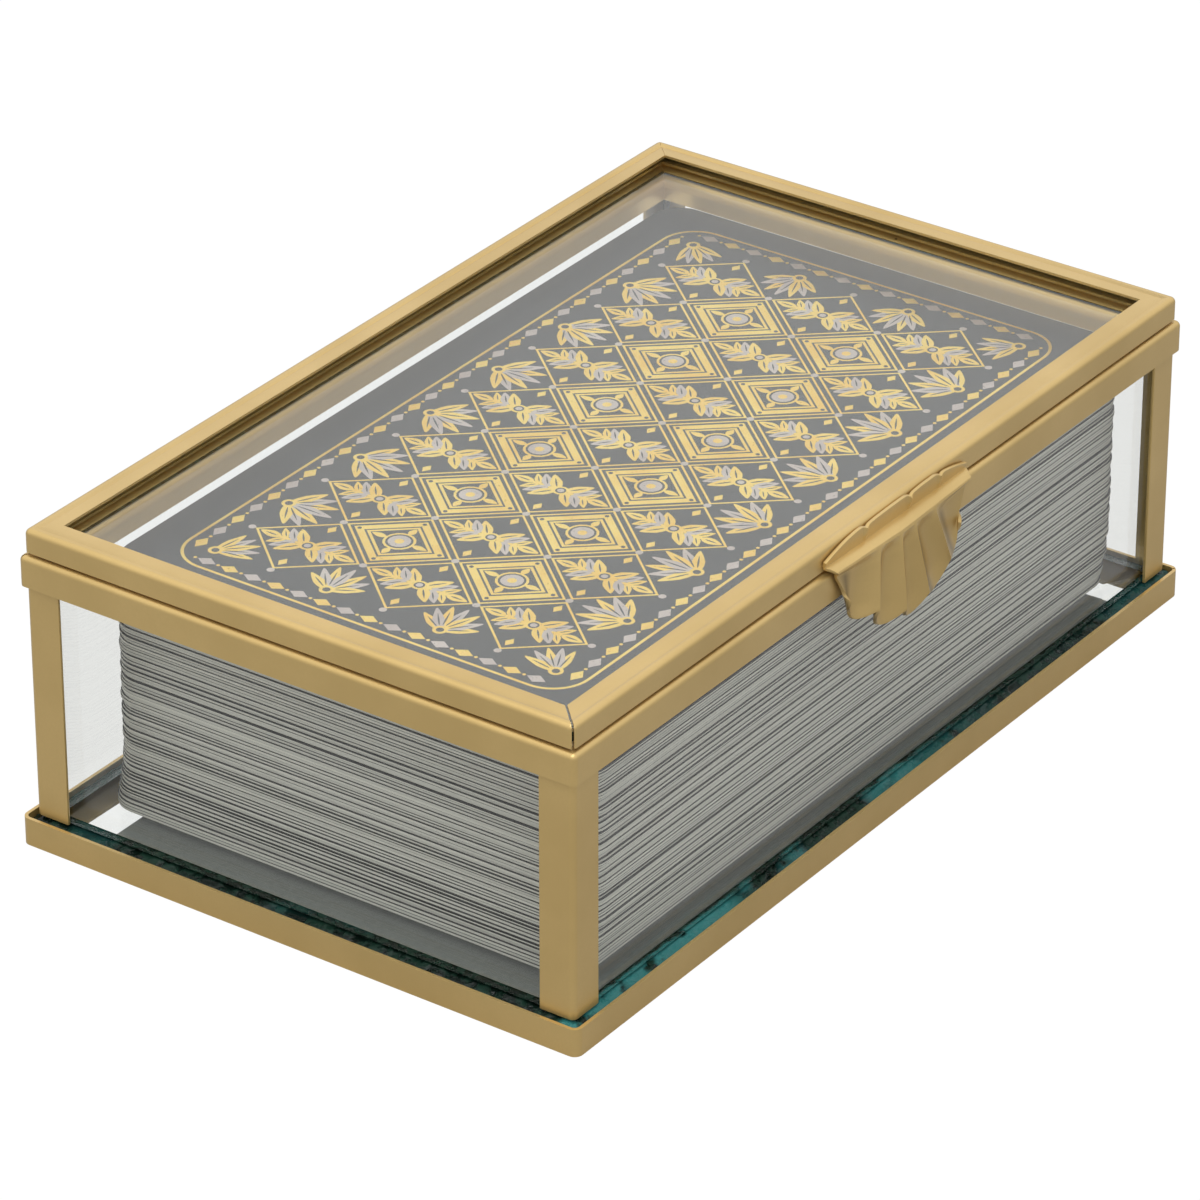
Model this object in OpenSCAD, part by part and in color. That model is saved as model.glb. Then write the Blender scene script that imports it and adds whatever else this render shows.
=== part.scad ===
// Deck of tarot cards in a glass keepsake box with a hinged lid and a shell-shaped lifting tab.
// The box is built round the deck: card size and the room round it set every other place.
// Frame: +X along the long side, the tab faces -Y, the hinges are at +Y and +Z is up.
// The origin is the centre of the base, on the surface that the box stands on.

/* [Cards] */
// Length of a card
card_l = 120; // [90:1:150]
// Width of a card
card_w = 70; // [55:1:95]
// Thickness of a card
card_t = 0.4; // [0.25:0.01:0.6]
// Air between two cards
card_air = 0.02; // [0.01:0.01:0.05]
// Corner radius of a card
card_corner_r = 4; // [2:0.5:8]
// Cards in the trump series, the uppermost card included
trump_count = 22; // [2:1:30]
// Cards in each of the four suits
suit_count = 14; // [2:1:18]
// How far a card stands out of line with the deck
card_scatter = 0.12; // [0:0.02:0.5]
// How far a card is turned out of line, in degrees
card_turn = 0.12; // [0:0.01:0.2]
// How far the deck has slid towards the right end, as a share of its play
deck_slide_x = 0.83; // [-0.97:0.01:0.97]
// How far the deck has slid towards the hinges, as a share of its play
deck_slide_y = 0.19; // [-0.97:0.01:0.97]
// How far the lowest card has slipped back towards the left end
deck_slip = 1.6; // [0:0.1:2]
// Cards at the bottom of the deck that share in the slip
deck_slip_count = 16; // [1:1:30]

/* [Room round the deck] */
// Room between the deck and the rim at each end
end_room = 3.5; // [1.5:0.1:12]
// Room between the deck and the rim along each side
side_room = 2.4; // [1.5:0.1:12]
// Height of the space between the deck and the lid glass
head_room = 4.6; // [4.4:0.1:20]

/* [Sheet metal] */
// Thickness of the strip
sheet_t = 0.5; // [0.4:0.05:0.8]
// Play between strip and glass
fit = 0.05; // [0.02:0.01:0.1]
// Width of the open joint where the two ends of a bent strip meet
joint_w = 0.25; // [0.1:0.05:0.5]

/* [Glass] */
// Thickness of the glass walls
wall_glass_t = 2; // [1.5:0.1:3]
// Thickness of the lid glass
lid_glass_t = 1.2; // [1:0.1:3]
// Open gap between the lid glass and the flange above it
lid_glass_gap = 0.8; // [0.1:0.1:1.5]
// Thickness of the glass floor
floor_glass_t = 3; // [2:0.1:5]

/* [Base frame] */
// Height of the lip
lip_h = 3.8; // [3:0.1:6]
// Width of the flange under the floor
flange_w = 5.4; // [3:0.1:8]
// Gap between the posts and the lip
lip_gap = 0.9; // [0.3:0.1:2]
// Radius of the bent corners
frame_corner_r = 1.2; // [1:0.1:4]
// Thickness of the backing sheet under the floor
liner_t = 0.3; // [0.2:0.05:0.6]
// Bare margin that the backing sheet leaves at the right end
liner_margin_x = 10; // [1:0.5:20]
// Bare margin that the backing sheet leaves along the hinge side
liner_margin_y = 10; // [1:0.5:20]

/* [Posts and rim] */
// Width of each leg of an angle post
post_leg = 5; // [3:0.1:8]
// Height of the rim's outer wall
rim_h = 3.85; // [3:0.05:6]
// Height of the rim's inner wall
rim_inner_h = 4.15; // [2:0.05:5]
// Radius of the rim's bent corners
rim_corner_r = 1.4; // [1:0.1:3]
// Radius of the rounded upper edges of rim and lid
edge_r = 0.8; // [0.4:0.05:0.9]

/* [Lid] */
// Gap between the closed lid and the rim
lid_gap = 0.4; // [0.2:0.05:0.8]
// Width of the flange on top of the lid glass
lid_flange_w = 3.5; // [2.5:0.1:6]
// Width of the flange under the lid glass
lid_under_w = 2; // [1:0.1:3]
// Radius of the lid's corners
lid_corner_r = 1; // [0.95:0.05:2]

/* [Shell tab] */
// Thickness of the pressed sheet
shell_t = 0.5; // [0.3:0.05:0.8]
// Width of the strip that is soldered to the lid
shell_strip_w = 31.2; // [20:0.2:45]
// Half width of the fan at its fold
shell_half_w = 14.8; // [8:0.1:20]
// Depth of the fan's middle below its fold
shell_drop = 12; // [6:0.1:20]
// How far the middle of the fold stands out from the strip
shell_ledge = 1.8; // [1.7:0.1:3]
// How far the middle of the fan's edge stands out from its fold
shell_flare = 1.8; // [0:0.1:5]
// Lobes along the fan's edge
shell_lobes = 5; // [3:2:9]
// Depth of the notches between lobes
shell_notch = 2; // [0.4:0.1:2.4]
// Depth of the scooped flutes
shell_flute = 0.9; // [0.2:0.05:1]

/* [Hinges] */
// Width of a hinge
hinge_w = 16; // [10:0.5:24]
// Distance of each hinge's middle from the lid's end
hinge_inset = 28.6; // [15:0.2:40]
// Height of the moving leaf above the lid's lower edge
lid_leaf_h = 1.4; // [1:0.1:2.2]
// Depth of the hinge axis below the top of the rim
axis_drop = 0.5; // [0.3:0.05:1]
// Outer radius of the knuckles
knuckle_r = 0.85; // [0.8:0.05:1]
// Radius of the pin
pin_r = 0.4; // [0.3:0.05:0.5]
// Running clearance between the pin and the lid's knuckle
pin_run = 0.05; // [0.02:0.01:0.1]
// Clearance of the pin where it is held in the base knuckles
pin_hold = 0.02; // [0.01:0.01:0.03]
// Gap between two knuckles, and between knuckles and leaves
knuckle_gap = 0.15; // [0.1:0.05:0.2]
// Thickness of a leaf
leaf_t = 0.5; // [0.4:0.05:0.6]
// Angle at which the stop tails meet the base leaves, in degrees
stop_angle = 110; // [95:1:120]
// Reach of a stop tail from the pin's axis
stop_reach = 1.5; // [1.3:0.1:2]

/* [Hidden] */
$fn = 48;

// How far a cutting body runs past what it cuts
over = 1;
// Facets of a round that is part of a hull
hull_facets = 32;

// Half sizes in plan, from the deck outwards: inner wall of the rim, glass, posts, rim and lip
room = [card_l / 2 + end_room, card_w / 2 + side_room];
pane_in = room + [sheet_t + fit, sheet_t + fit];
pane_out = pane_in + [wall_glass_t, wall_glass_t];
post_in = pane_out + [fit, fit];
post_out = post_in + [sheet_t, sheet_t];
rim_out = post_out + [fit + sheet_t, fit + sheet_t];
lip_in = post_out + [lip_gap, lip_gap];
lip_out = lip_in + [sheet_t, sheet_t];
flange_in = lip_out - [flange_w, flange_w];
lid_out = post_out;

// Heights from the table upwards
floor_glass_z = sheet_t + liner_t + fit;
floor_z = floor_glass_z + floor_glass_t;
card_count = trump_count + 4 * suit_count;
card_pitch = card_t + card_air;
// Play of the deck between the rim's inner walls, less what single cards stand out by
deck_play = [
    end_room - card_scatter - card_w / 2 * sin(card_turn) - fit,
    side_room - card_scatter - card_l / 2 * sin(card_turn) - fit
];
deck_shift = [deck_slide_x * deck_play[0], deck_slide_y * deck_play[1]];
deck_z = floor_z + fit;
deck_top_z = deck_z + card_count * card_pitch - card_air;
lid_glass_z = deck_top_z + head_room;
lid_z = lid_glass_z - fit - sheet_t;
lid_h = 2 * sheet_t + lid_glass_t + lid_glass_gap + 2 * fit;
rim_top_z = lid_z - lid_gap;
rim_z = rim_top_z - rim_h;
wall_z = floor_z + fit;
wall_top_z = rim_top_z - sheet_t - fit;

// Bends of the posts, concentric with the inside of the rim
post_r = rim_corner_r - sheet_t - fit;
post_inner_r = max(post_r - sheet_t, fit);

// Hinge axis, behind the rim and a little below its top
knuckle_set = 0.05;
hinge_x = lid_out[0] - hinge_inset;
leaf_y = rim_out[1] + fit;
axis_y = leaf_y + knuckle_set + knuckle_r;
axis_z = rim_top_z - axis_drop;
knuckle_w = (hinge_w - 2 * knuckle_gap) / 3;
leaf_edge = 0.1;
pin_head_lip = 0.3;
pin_head_h = 0.35;
stop_t = 0.5;
stop_touch = 0.02;
stop_inset = 0.2;

// Fan of the shell tab
shell_strip_below = 0.25;
shell_y = -lid_out[1] - fit;
shell_fold_z = lid_z + shell_t + fit;
shell_strip_top_z = lid_z + lid_h - shell_strip_below;
shell_strip_shoulder = 0.62;
shell_columns = 80;
shell_rows = 10;
// Course of the fan's edge from its middle to its side, as shares of half width and depth
shell_edge_x = [[0, 0], [0.2, 0.206], [0.4, 0.432], [0.6, 0.642], [0.8, 0.782], [1, 0.849]];
shell_edge_z = [[0, 1], [0.2, 0.984], [0.4, 0.886], [0.6, 0.764], [0.8, 0.627], [1, 0.434]];
// How much of the fold's and the fan's bulge is lost at the sides
shell_fold_sweep = 0.26;
shell_flare_sweep = 0.5;
// How far down the fan its scoops reach their full depth, as a share of its length
shell_flute_run = 0.18;
// How much deeper the scoops are at the fan's edge than at its fold, as a share of their depth
shell_flute_growth = 0.7;
// Share of the notches and ridges that is left on the outermost sides
shell_side_share = 0.3;

brass = [0.72, 0.58, 0.34];
glass = [0.78, 0.88, 0.86, 0.35];
card_edge = [0.62, 0.62, 0.59];
card_back = [0.16, 0.17, 0.17];
liner_grey = [0.22, 0.23, 0.22];

// Flat rectangle with round corners, from its half sizes
module round_rect(half, r) {
    square([2 * half[0] - 2 * r, 2 * half[1]], center = true);
    square([2 * half[0], 2 * half[1] - 2 * r], center = true);
    for (sx = [-1, 1], sy = [-1, 1])
        translate([sx * (half[0] - r), sy * (half[1] - r)]) circle(r);
}

// Upright slab with round corners, standing on z
module round_slab(half, r, z, h) {
    translate([0, 0, z]) linear_extrude(h) round_rect(half, r);
}

// Slab with square corners, standing on z
module slab(half, z, h) {
    translate([-half[0], -half[1], z]) cube([2 * half[0], 2 * half[1], h]);
}

// Slab with round corners and a rounded upper edge
module crowned_slab(half, r, z, h) {
    hull()
        for (sx = [-1, 1], sy = [-1, 1])
            translate([sx * (half[0] - r), sy * (half[1] - r), z]) {
                cylinder(r = r, h = h - edge_r, $fn = hull_facets);
                translate([0, 0, h - edge_r])
                    rotate_extrude($fn = hull_facets)
                        intersection() {
                            translate([r - edge_r, 0]) circle(edge_r, $fn = hull_facets);
                            translate([0, -edge_r]) square([r, 2 * edge_r]);
                        }
            }
}

// Cut on the diagonal of the corner that sx and sy name, reaching inwards from the strip's outside
module corner_joint(half, sx, sy, reach, z, h) {
    translate([sx * half[0], sy * half[1], z])
        rotate(atan2(sy, sx))
            translate([-reach, -joint_w / 2, 0]) cube([reach + over, joint_w, h]);
}

// L-section strip: the lip stands up and the flange runs in under the floor
module base_frame() {
    color(brass)
        difference() {
            round_slab(lip_out, frame_corner_r, 0, lip_h);
            round_slab(lip_in, frame_corner_r - sheet_t, sheet_t, lip_h);
            slab(flange_in, -over, lip_h);
            corner_joint(lip_out, 1, -1, 2 * flange_w, -over, lip_h + 2 * over);
        }
}

// Backing sheet, pushed into the front left corner of the frame
module base_liner() {
    liner_l = 2 * (lip_in[0] - fit) - liner_margin_x;
    liner_w = 2 * (lip_in[1] - fit) - liner_margin_y;
    inner_r = frame_corner_r - sheet_t;
    color(liner_grey)
        intersection() {
            round_slab(lip_in - [fit, fit], inner_r, sheet_t + fit / 2, liner_t);
            translate([-lip_in[0] + fit, -lip_in[1] + fit, 0]) cube([liner_l, liner_w, lip_h]);
        }
}

// Glass floor, which fills the frame
module floor_pane() {
    half = lip_in - [2 * fit, 2 * fit];
    color(glass) round_slab(half, frame_corner_r - sheet_t, floor_glass_z, floor_glass_t);
}

// Angle post in the corner that sx and sy name, bent to follow the inside of the rim
module post(sx, sy) {
    color(brass)
        translate([0, 0, wall_z])
            linear_extrude(wall_top_z - wall_z)
                intersection() {
                    difference() {
                        round_rect(post_out, post_r);
                        round_rect(post_in, post_inner_r);
                    }
                    translate([sx * post_out[0], sy * post_out[1]]) square(2 * post_leg, center = true);
                }
}

// Long glass wall on the side that sy names, running into the bends of the posts
module long_pane(sy) {
    half_l = pane_out[0] - post_inner_r;
    y = sy > 0 ? pane_in[1] : -pane_out[1];
    color(glass)
        translate([-half_l, y, wall_z]) cube([2 * half_l, wall_glass_t, wall_top_z - wall_z]);
}

// Short glass wall on the end that sx names, between the long walls
module end_pane(sx) {
    half_w = pane_in[1] - fit;
    x = sx > 0 ? pane_in[0] : -pane_out[0];
    color(glass)
        translate([x, -half_w, wall_z]) cube([wall_glass_t, 2 * half_w, wall_top_z - wall_z]);
}

// Channel over the upper edges of the walls, with its joint at the rear left corner
module base_rim() {
    wall_in = rim_out - [sheet_t, sheet_t];
    inner_out = room + [sheet_t, sheet_t];
    tall = max(rim_h, rim_inner_h) + 2 * over;
    color(brass)
        difference() {
            union() {
                difference() {
                    crowned_slab(rim_out, rim_corner_r, rim_z, rim_h);
                    round_slab(wall_in, rim_corner_r - sheet_t, rim_z - over, rim_h - sheet_t + over);
                }
                slab(inner_out, rim_top_z - rim_inner_h, rim_inner_h - sheet_t / 2);
            }
            slab(room, rim_top_z + over - tall, tall);
            corner_joint(rim_out, -1, 1, 2 * post_leg, rim_top_z + over - tall, tall);
        }
}

// Barrel of one knuckle from x0, with the leaf's sheet running into it; up is 1 on the lid and -1 on the base
module knuckle(x0, reach, up) {
    translate([x0, axis_y, axis_z]) rotate([0, 90, 0]) cylinder(r = knuckle_r, h = knuckle_w);
    translate([x0, leaf_y, up > 0 ? axis_z : axis_z - reach]) cube([knuckle_w, leaf_t, reach]);
}

// Bore through a knuckle
module knuckle_bore(x0, r) {
    translate([x0 - over, axis_y, axis_z]) rotate([0, 90, 0]) cylinder(r = r, h = knuckle_w + 2 * over);
}

// Fixed leaf on the rim, with the two outer knuckles
module hinge_base_leaf(side) {
    x0 = side * hinge_x - hinge_w / 2;
    outer = [x0, x0 + hinge_w - knuckle_w];
    leaf_top = axis_z - knuckle_r - knuckle_gap;
    leaf_bottom = rim_z + leaf_edge;
    color(brass)
        difference() {
            union() {
                translate([x0, leaf_y, leaf_bottom]) cube([hinge_w, leaf_t, leaf_top - leaf_bottom]);
                for (x = outer) knuckle(x, axis_z - leaf_bottom, -1);
            }
            for (x = outer) knuckle_bore(x, pin_r + pin_hold);
        }
}

// Moving leaf on the lid, with the middle knuckle and its stop tail
module hinge_lid_leaf(side) {
    x0 = side * hinge_x - hinge_w / 2;
    middle = x0 + knuckle_w + knuckle_gap;
    leaf_bottom = axis_z + knuckle_r + knuckle_gap;
    leaf_top = lid_z + lid_leaf_h;
    pad_y = lid_out[1] + fit;
    tail_y = leaf_y + leaf_t + stop_touch - axis_y;
    color(brass)
        difference() {
            union() {
                translate([x0, pad_y, leaf_bottom])
                    cube([hinge_w, leaf_y + leaf_t - pad_y, leaf_top - leaf_bottom]);
                knuckle(middle, leaf_top - axis_z, 1);
                translate([middle + stop_inset, axis_y, axis_z])
                    rotate([stop_angle, 0, 0])
                        translate([0, tail_y, -stop_reach])
                            cube([knuckle_w - 2 * stop_inset, stop_t, stop_reach]);
            }
            knuckle_bore(middle, pin_r + pin_run);
        }
}

// Pin with two headed ends
module hinge_pin(side) {
    x0 = side * hinge_x - hinge_w / 2 - fit;
    length = hinge_w + 2 * fit;
    color(brass)
        translate([x0, axis_y, axis_z])
            rotate([0, 90, 0]) {
                cylinder(r = pin_r, h = length);
                for (z = [-pin_head_h, length])
                    translate([0, 0, z]) cylinder(r = pin_r + pin_head_lip, h = pin_head_h);
            }
}

// Channel round the lid glass, with its joint at the front left corner
module lid_frame() {
    inner = lid_out - [sheet_t, sheet_t];
    under_in = lid_out - [lid_under_w, lid_under_w];
    flange_top_in = lid_out - [lid_flange_w, lid_flange_w];
    color(brass)
        difference() {
            crowned_slab(lid_out, lid_corner_r, lid_z, lid_h);
            round_slab(inner, lid_corner_r - sheet_t, lid_z + sheet_t, lid_h - 2 * sheet_t);
            slab(under_in, lid_z - over, sheet_t + 2 * over);
            slab(flange_top_in, lid_z + lid_h - sheet_t - over, sheet_t + 2 * over);
            corner_joint(lid_out, -1, -1, 2 * lid_flange_w, lid_z - over, lid_h + 2 * over);
        }
}

// Lid glass, held in the channel
module lid_pane() {
    half = lid_out - [sheet_t + 2 * fit, sheet_t + 2 * fit];
    color(glass) round_slab(half, lid_corner_r - sheet_t, lid_glass_z, lid_glass_t);
}

// Place of a column across the fan: 0 in the middle, -1 and 1 on its sides
function fan_across(i) = 2 * i / shell_columns - 1;
// Depth of the edge's notches at a place across: 0 in a lobe's middle and 1 in a notch
function fan_dip(u) =
    (1 - abs(cos(90 * shell_lobes * u))) * (abs(u) < 1 - 1 / shell_lobes ? 1 : shell_side_share);
// Depth of the scoops at a place across: 1 in a lobe's middle and 0 on the ridges that run to the notches
function fan_scoop(u) = 1 - fan_dip(u);
// Point of the fold line above a column
function fan_fold(i) =
    let (u = fan_across(i))
    [
        shell_half_w * u,
        shell_y - shell_t - shell_ledge * (1 - shell_fold_sweep * u * u),
        shell_fold_z - shell_t
    ];
// Point of the scalloped edge below a column
function fan_edge(i) =
    let (u = fan_across(i), left = 1 - shell_notch * fan_dip(u) / shell_drop)
    [
        sign(u) * lookup(abs(u), shell_edge_x) * shell_half_w * left,
        fan_fold(i)[1] - shell_flare * (1 - shell_flare_sweep * u * u),
        shell_fold_z - shell_t - lookup(abs(u), shell_edge_z) * shell_drop * left
    ];
// Point of the fan's face: row 0 lies in the strip, row 1 on the fold, the last row on the edge
function fan_face(i, j) =
    let (
        s = max(0, j - 1) / (shell_rows - 1),
        run = min(1, s / shell_flute_run) * (1 + shell_flute_growth * s),
        scoop = shell_flute * run * fan_scoop(fan_across(i))
    )
    j == 0
        ? [fan_fold(i)[0], shell_y - shell_t / 2, shell_fold_z]
        : (1 - s) * fan_fold(i) + s * fan_edge(i) + [0, scoop, 0];
// Point of the fan's back, one sheet thickness behind the face
function fan_back(i, j) = fan_face(i, j) + (j < 2 ? [0, shell_t / 4, -shell_t] : [0, shell_t, 0]);

// Fluted fan as one closed skin: face, back and the four edges between them
module fan() {
    across = shell_columns + 1;
    back = across * (shell_rows + 1);
    points = [
        for (j = [0 : shell_rows], i = [0 : shell_columns]) fan_face(i, j),
        for (j = [0 : shell_rows], i = [0 : shell_columns]) fan_back(i, j)
    ];
    faces = [
        for (j = [0 : shell_rows - 1], i = [0 : shell_columns - 1])
            let (a = j * across + i, b = a + across)
                each [[a, a + 1, b + 1], [a, b + 1, b]],
        for (j = [0 : shell_rows - 1], i = [0 : shell_columns - 1])
            let (a = back + j * across + i, b = a + across)
                each [[a, b + 1, a + 1], [a, b, b + 1]],
        for (i = [0 : shell_columns - 1], j = [0, shell_rows])
            let (a = j * across + i, b = a + back)
                each (j == 0 ? [[a, b + 1, a + 1], [a, b, b + 1]] : [[a, a + 1, b + 1], [a, b + 1, b]]),
        for (j = [0 : shell_rows - 1], i = [0, shell_columns])
            let (a = j * across + i, b = a + back, c = across)
                each (i == 0 ? [[a, a + c, b + c], [a, b + c, b]] : [[a, b + c, a + c], [a, b, b + c]])
    ];
    polyhedron(points, faces, convexity = 8);
}

// Pressed scallop: a strip on the lid's front, a fold and the fluted fan below it
module shell_tab() {
    w = shell_strip_w / 2;
    shoulder = w * shell_strip_shoulder;
    mid_z = (shell_fold_z + shell_strip_top_z) / 2;
    color(brass) {
        translate([0, shell_y, 0])
            rotate([90, 0, 0])
                linear_extrude(shell_t)
                    polygon([
                        [-w, mid_z], [-shoulder, shell_strip_top_z], [shoulder, shell_strip_top_z],
                        [w, mid_z], [w, shell_fold_z - shell_t], [-w, shell_fold_z - shell_t]
                    ]);
        fan();
    }
}

// How far card number i has slipped back
function card_slip(i) = deck_slip * max(0, 1 - i / deck_slip_count);

// Card number i, counted from the floor, out of line by a little that its number sets
module card(i) {
    translate([
        deck_shift[0] - card_slip(i) + card_scatter * sin(137.5 * i * i + 40),
        deck_shift[1] + card_scatter * sin(99.7 * i * i + 10),
        deck_z + i * card_pitch
    ])
        rotate(card_turn * sin(61 * i))
            linear_extrude(card_t) round_rect([card_l / 2, card_w / 2], card_corner_r);
}

// Run of cards from the one numbered first
module card_run(first, count, tone) {
    color(tone)
        for (i = [first : first + count - 1]) card(i);
}

base_frame();
base_liner();
floor_pane();
post(-1, -1);  // post_front_left
post(1, -1);  // post_front_right
post(-1, 1);  // post_rear_left
post(1, 1);  // post_rear_right
long_pane(-1);  // pane_front
long_pane(1);  // pane_rear
end_pane(-1);  // pane_left
end_pane(1);  // pane_right
base_rim();
hinge_base_leaf(-1);  // hinge_base_leaf_left
hinge_base_leaf(1);  // hinge_base_leaf_right
hinge_pin(-1);  // hinge_pin_left
hinge_pin(1);  // hinge_pin_right
lid_frame();
lid_pane();
shell_tab();
hinge_lid_leaf(-1);  // hinge_lid_leaf_left
hinge_lid_leaf(1);  // hinge_lid_leaf_right
card_run(0, suit_count, card_edge);  // coin_cards
card_run(suit_count, suit_count, card_edge);  // sword_cards
card_run(2 * suit_count, suit_count, card_edge);  // cup_cards
card_run(3 * suit_count, suit_count, card_edge);  // wand_cards
card_run(4 * suit_count, trump_count - 1, card_edge);  // trump_cards
card_run(card_count - 1, 1, card_back);  // top_card
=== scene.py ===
"""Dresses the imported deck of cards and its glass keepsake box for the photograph's view."""
import logging
import math
from dataclasses import dataclass, field
from enum import Enum
from typing import Callable, Iterable, Sequence

import bmesh
import bpy
from mathutils import Euler, Matrix, Vector, noise


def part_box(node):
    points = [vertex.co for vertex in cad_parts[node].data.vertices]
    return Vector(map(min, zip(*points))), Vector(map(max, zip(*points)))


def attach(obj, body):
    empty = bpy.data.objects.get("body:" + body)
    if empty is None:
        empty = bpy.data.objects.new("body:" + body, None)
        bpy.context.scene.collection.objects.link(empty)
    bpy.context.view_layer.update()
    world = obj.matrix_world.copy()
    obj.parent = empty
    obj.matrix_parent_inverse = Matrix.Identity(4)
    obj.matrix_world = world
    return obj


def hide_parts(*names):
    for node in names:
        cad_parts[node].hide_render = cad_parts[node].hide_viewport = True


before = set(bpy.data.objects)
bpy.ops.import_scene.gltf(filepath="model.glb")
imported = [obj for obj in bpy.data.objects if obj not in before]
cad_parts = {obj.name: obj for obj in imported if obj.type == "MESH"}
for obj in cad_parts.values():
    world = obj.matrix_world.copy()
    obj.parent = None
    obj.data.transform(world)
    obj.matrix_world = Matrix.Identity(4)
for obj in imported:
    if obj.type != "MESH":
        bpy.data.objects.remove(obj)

LOG = logging.getLogger("keepsake_box")
MM = 0.001
# Points closer than this lie in one place.
NEAR = 0.002 * MM
# A normal with more than this along an axis looks along it.
ALONG = 0.99
# Vertex attribute of painted shade on the shell's fan: darkest just beside each crease, with an even painted
# shade over the rest of the fan.
CREASE = "crease_patina"
WHITE = (1.0, 1.0, 1.0, 1.0)
Color = tuple[float, float, float]
Point = tuple[float, float]
Element = bmesh.types.BMEdge | bmesh.types.BMFace


class Body(str, Enum):
    """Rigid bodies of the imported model."""

    BASE = "base"
    LID = "lid"
    DECK = "deck"


class Slot(str, Enum):
    """Material slots of the record."""

    BRASS = "brass"
    GLASS = "glass"
    LINER = "liner"
    CARD = "card"
    CARD_BACK = "card_back"


class Corner(Enum):
    """Corners of the box in plan, as signs along X and Y."""

    FRONT_LEFT = (-1, -1)
    FRONT_RIGHT = (1, -1)
    REAR_LEFT = (-1, 1)
    REAR_RIGHT = (1, 1)


class Foil(Enum):
    """Foils of the card's printed ornament."""

    GOLD = 0
    SILVER = 1
    INK = 2


@dataclass(frozen=True)
class Span:
    """Box of a CAD node at rest, in metres."""

    low: Vector
    high: Vector

    @classmethod
    def of(cls, node: str) -> "Span":
        """Measures the CAD node of that name."""
        return cls(*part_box(node))

    @property
    def size(self) -> Vector:
        """Edge lengths of the box."""
        return self.high - self.low

    @property
    def half(self) -> Point:
        """Half sizes in plan."""
        return self.size.x / 2, self.size.y / 2


class Nodes:
    """Shorthand for building a node tree."""

    def __init__(self, tree: bpy.types.NodeTree) -> None:
        """Keeps the tree that the nodes go into."""
        self.tree = tree

    def add(self, kind: str, inputs: dict | None = None, **settings: object) -> bpy.types.Node:
        """Adds a node.

        Args:
            kind: node type without its ShaderNode prefix.
            inputs: values, or sockets to link, by input name or number.
            settings: node properties, set before the inputs.

        Returns:
            The new node.
        """
        node = self.tree.nodes.new("ShaderNode" + kind)
        for key, value in settings.items():
            setattr(node, key, value)
        for key, value in (inputs or {}).items():
            if isinstance(value, bpy.types.NodeSocket):
                self.tree.links.new(value, node.inputs[key])
            else:
                node.inputs[key].default_value = value
        return node

    def math(self, operation: str, first: object, second: object = 0.0) -> bpy.types.NodeSocket:
        """Returns the output of a Math node on two values."""
        return self.add("Math", {0: first, 1: second}, operation=operation).outputs[0]

    def ramp(
        self, value: object, low: object, high: object, start: object, end: object
    ) -> bpy.types.NodeSocket:
        """Returns a value mapped from low..high to start..end, clamped."""
        inputs = {"Value": value, "From Min": low, "From Max": high, "To Min": start, "To Max": end}
        return self.add("MapRange", inputs, clamp=True).outputs["Result"]

    def mix(self, factor: object, first: object, second: object) -> bpy.types.NodeSocket:
        """Returns the mix of two colours, each a colour or a socket."""
        inputs = {0: factor, 6: first, 7: second}
        for index in (6, 7):
            if isinstance(inputs[index], tuple):
                inputs[index] = (*inputs[index], 1.0)
        return self.add("Mix", inputs, data_type="RGBA").outputs[2]

    def rays(self, first: str, second: str) -> bpy.types.NodeSocket:
        """Returns 1 for light rays of either of two kinds and 0 for the rest."""
        path = self.add("LightPath").outputs
        return self.math("MAXIMUM", path[f"Is {first} Ray"], path[f"Is {second} Ray"])

    def effect(self, tree: bpy.types.NodeTree, **values: object) -> bpy.types.Node:
        """Places a shared effect with its own values and returns the group node."""
        return self.add("Group", values, node_tree=tree)

    def link(self, source: bpy.types.NodeSocket, target: bpy.types.NodeSocket) -> None:
        """Links two sockets."""
        self.tree.links.new(source, target)


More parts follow.
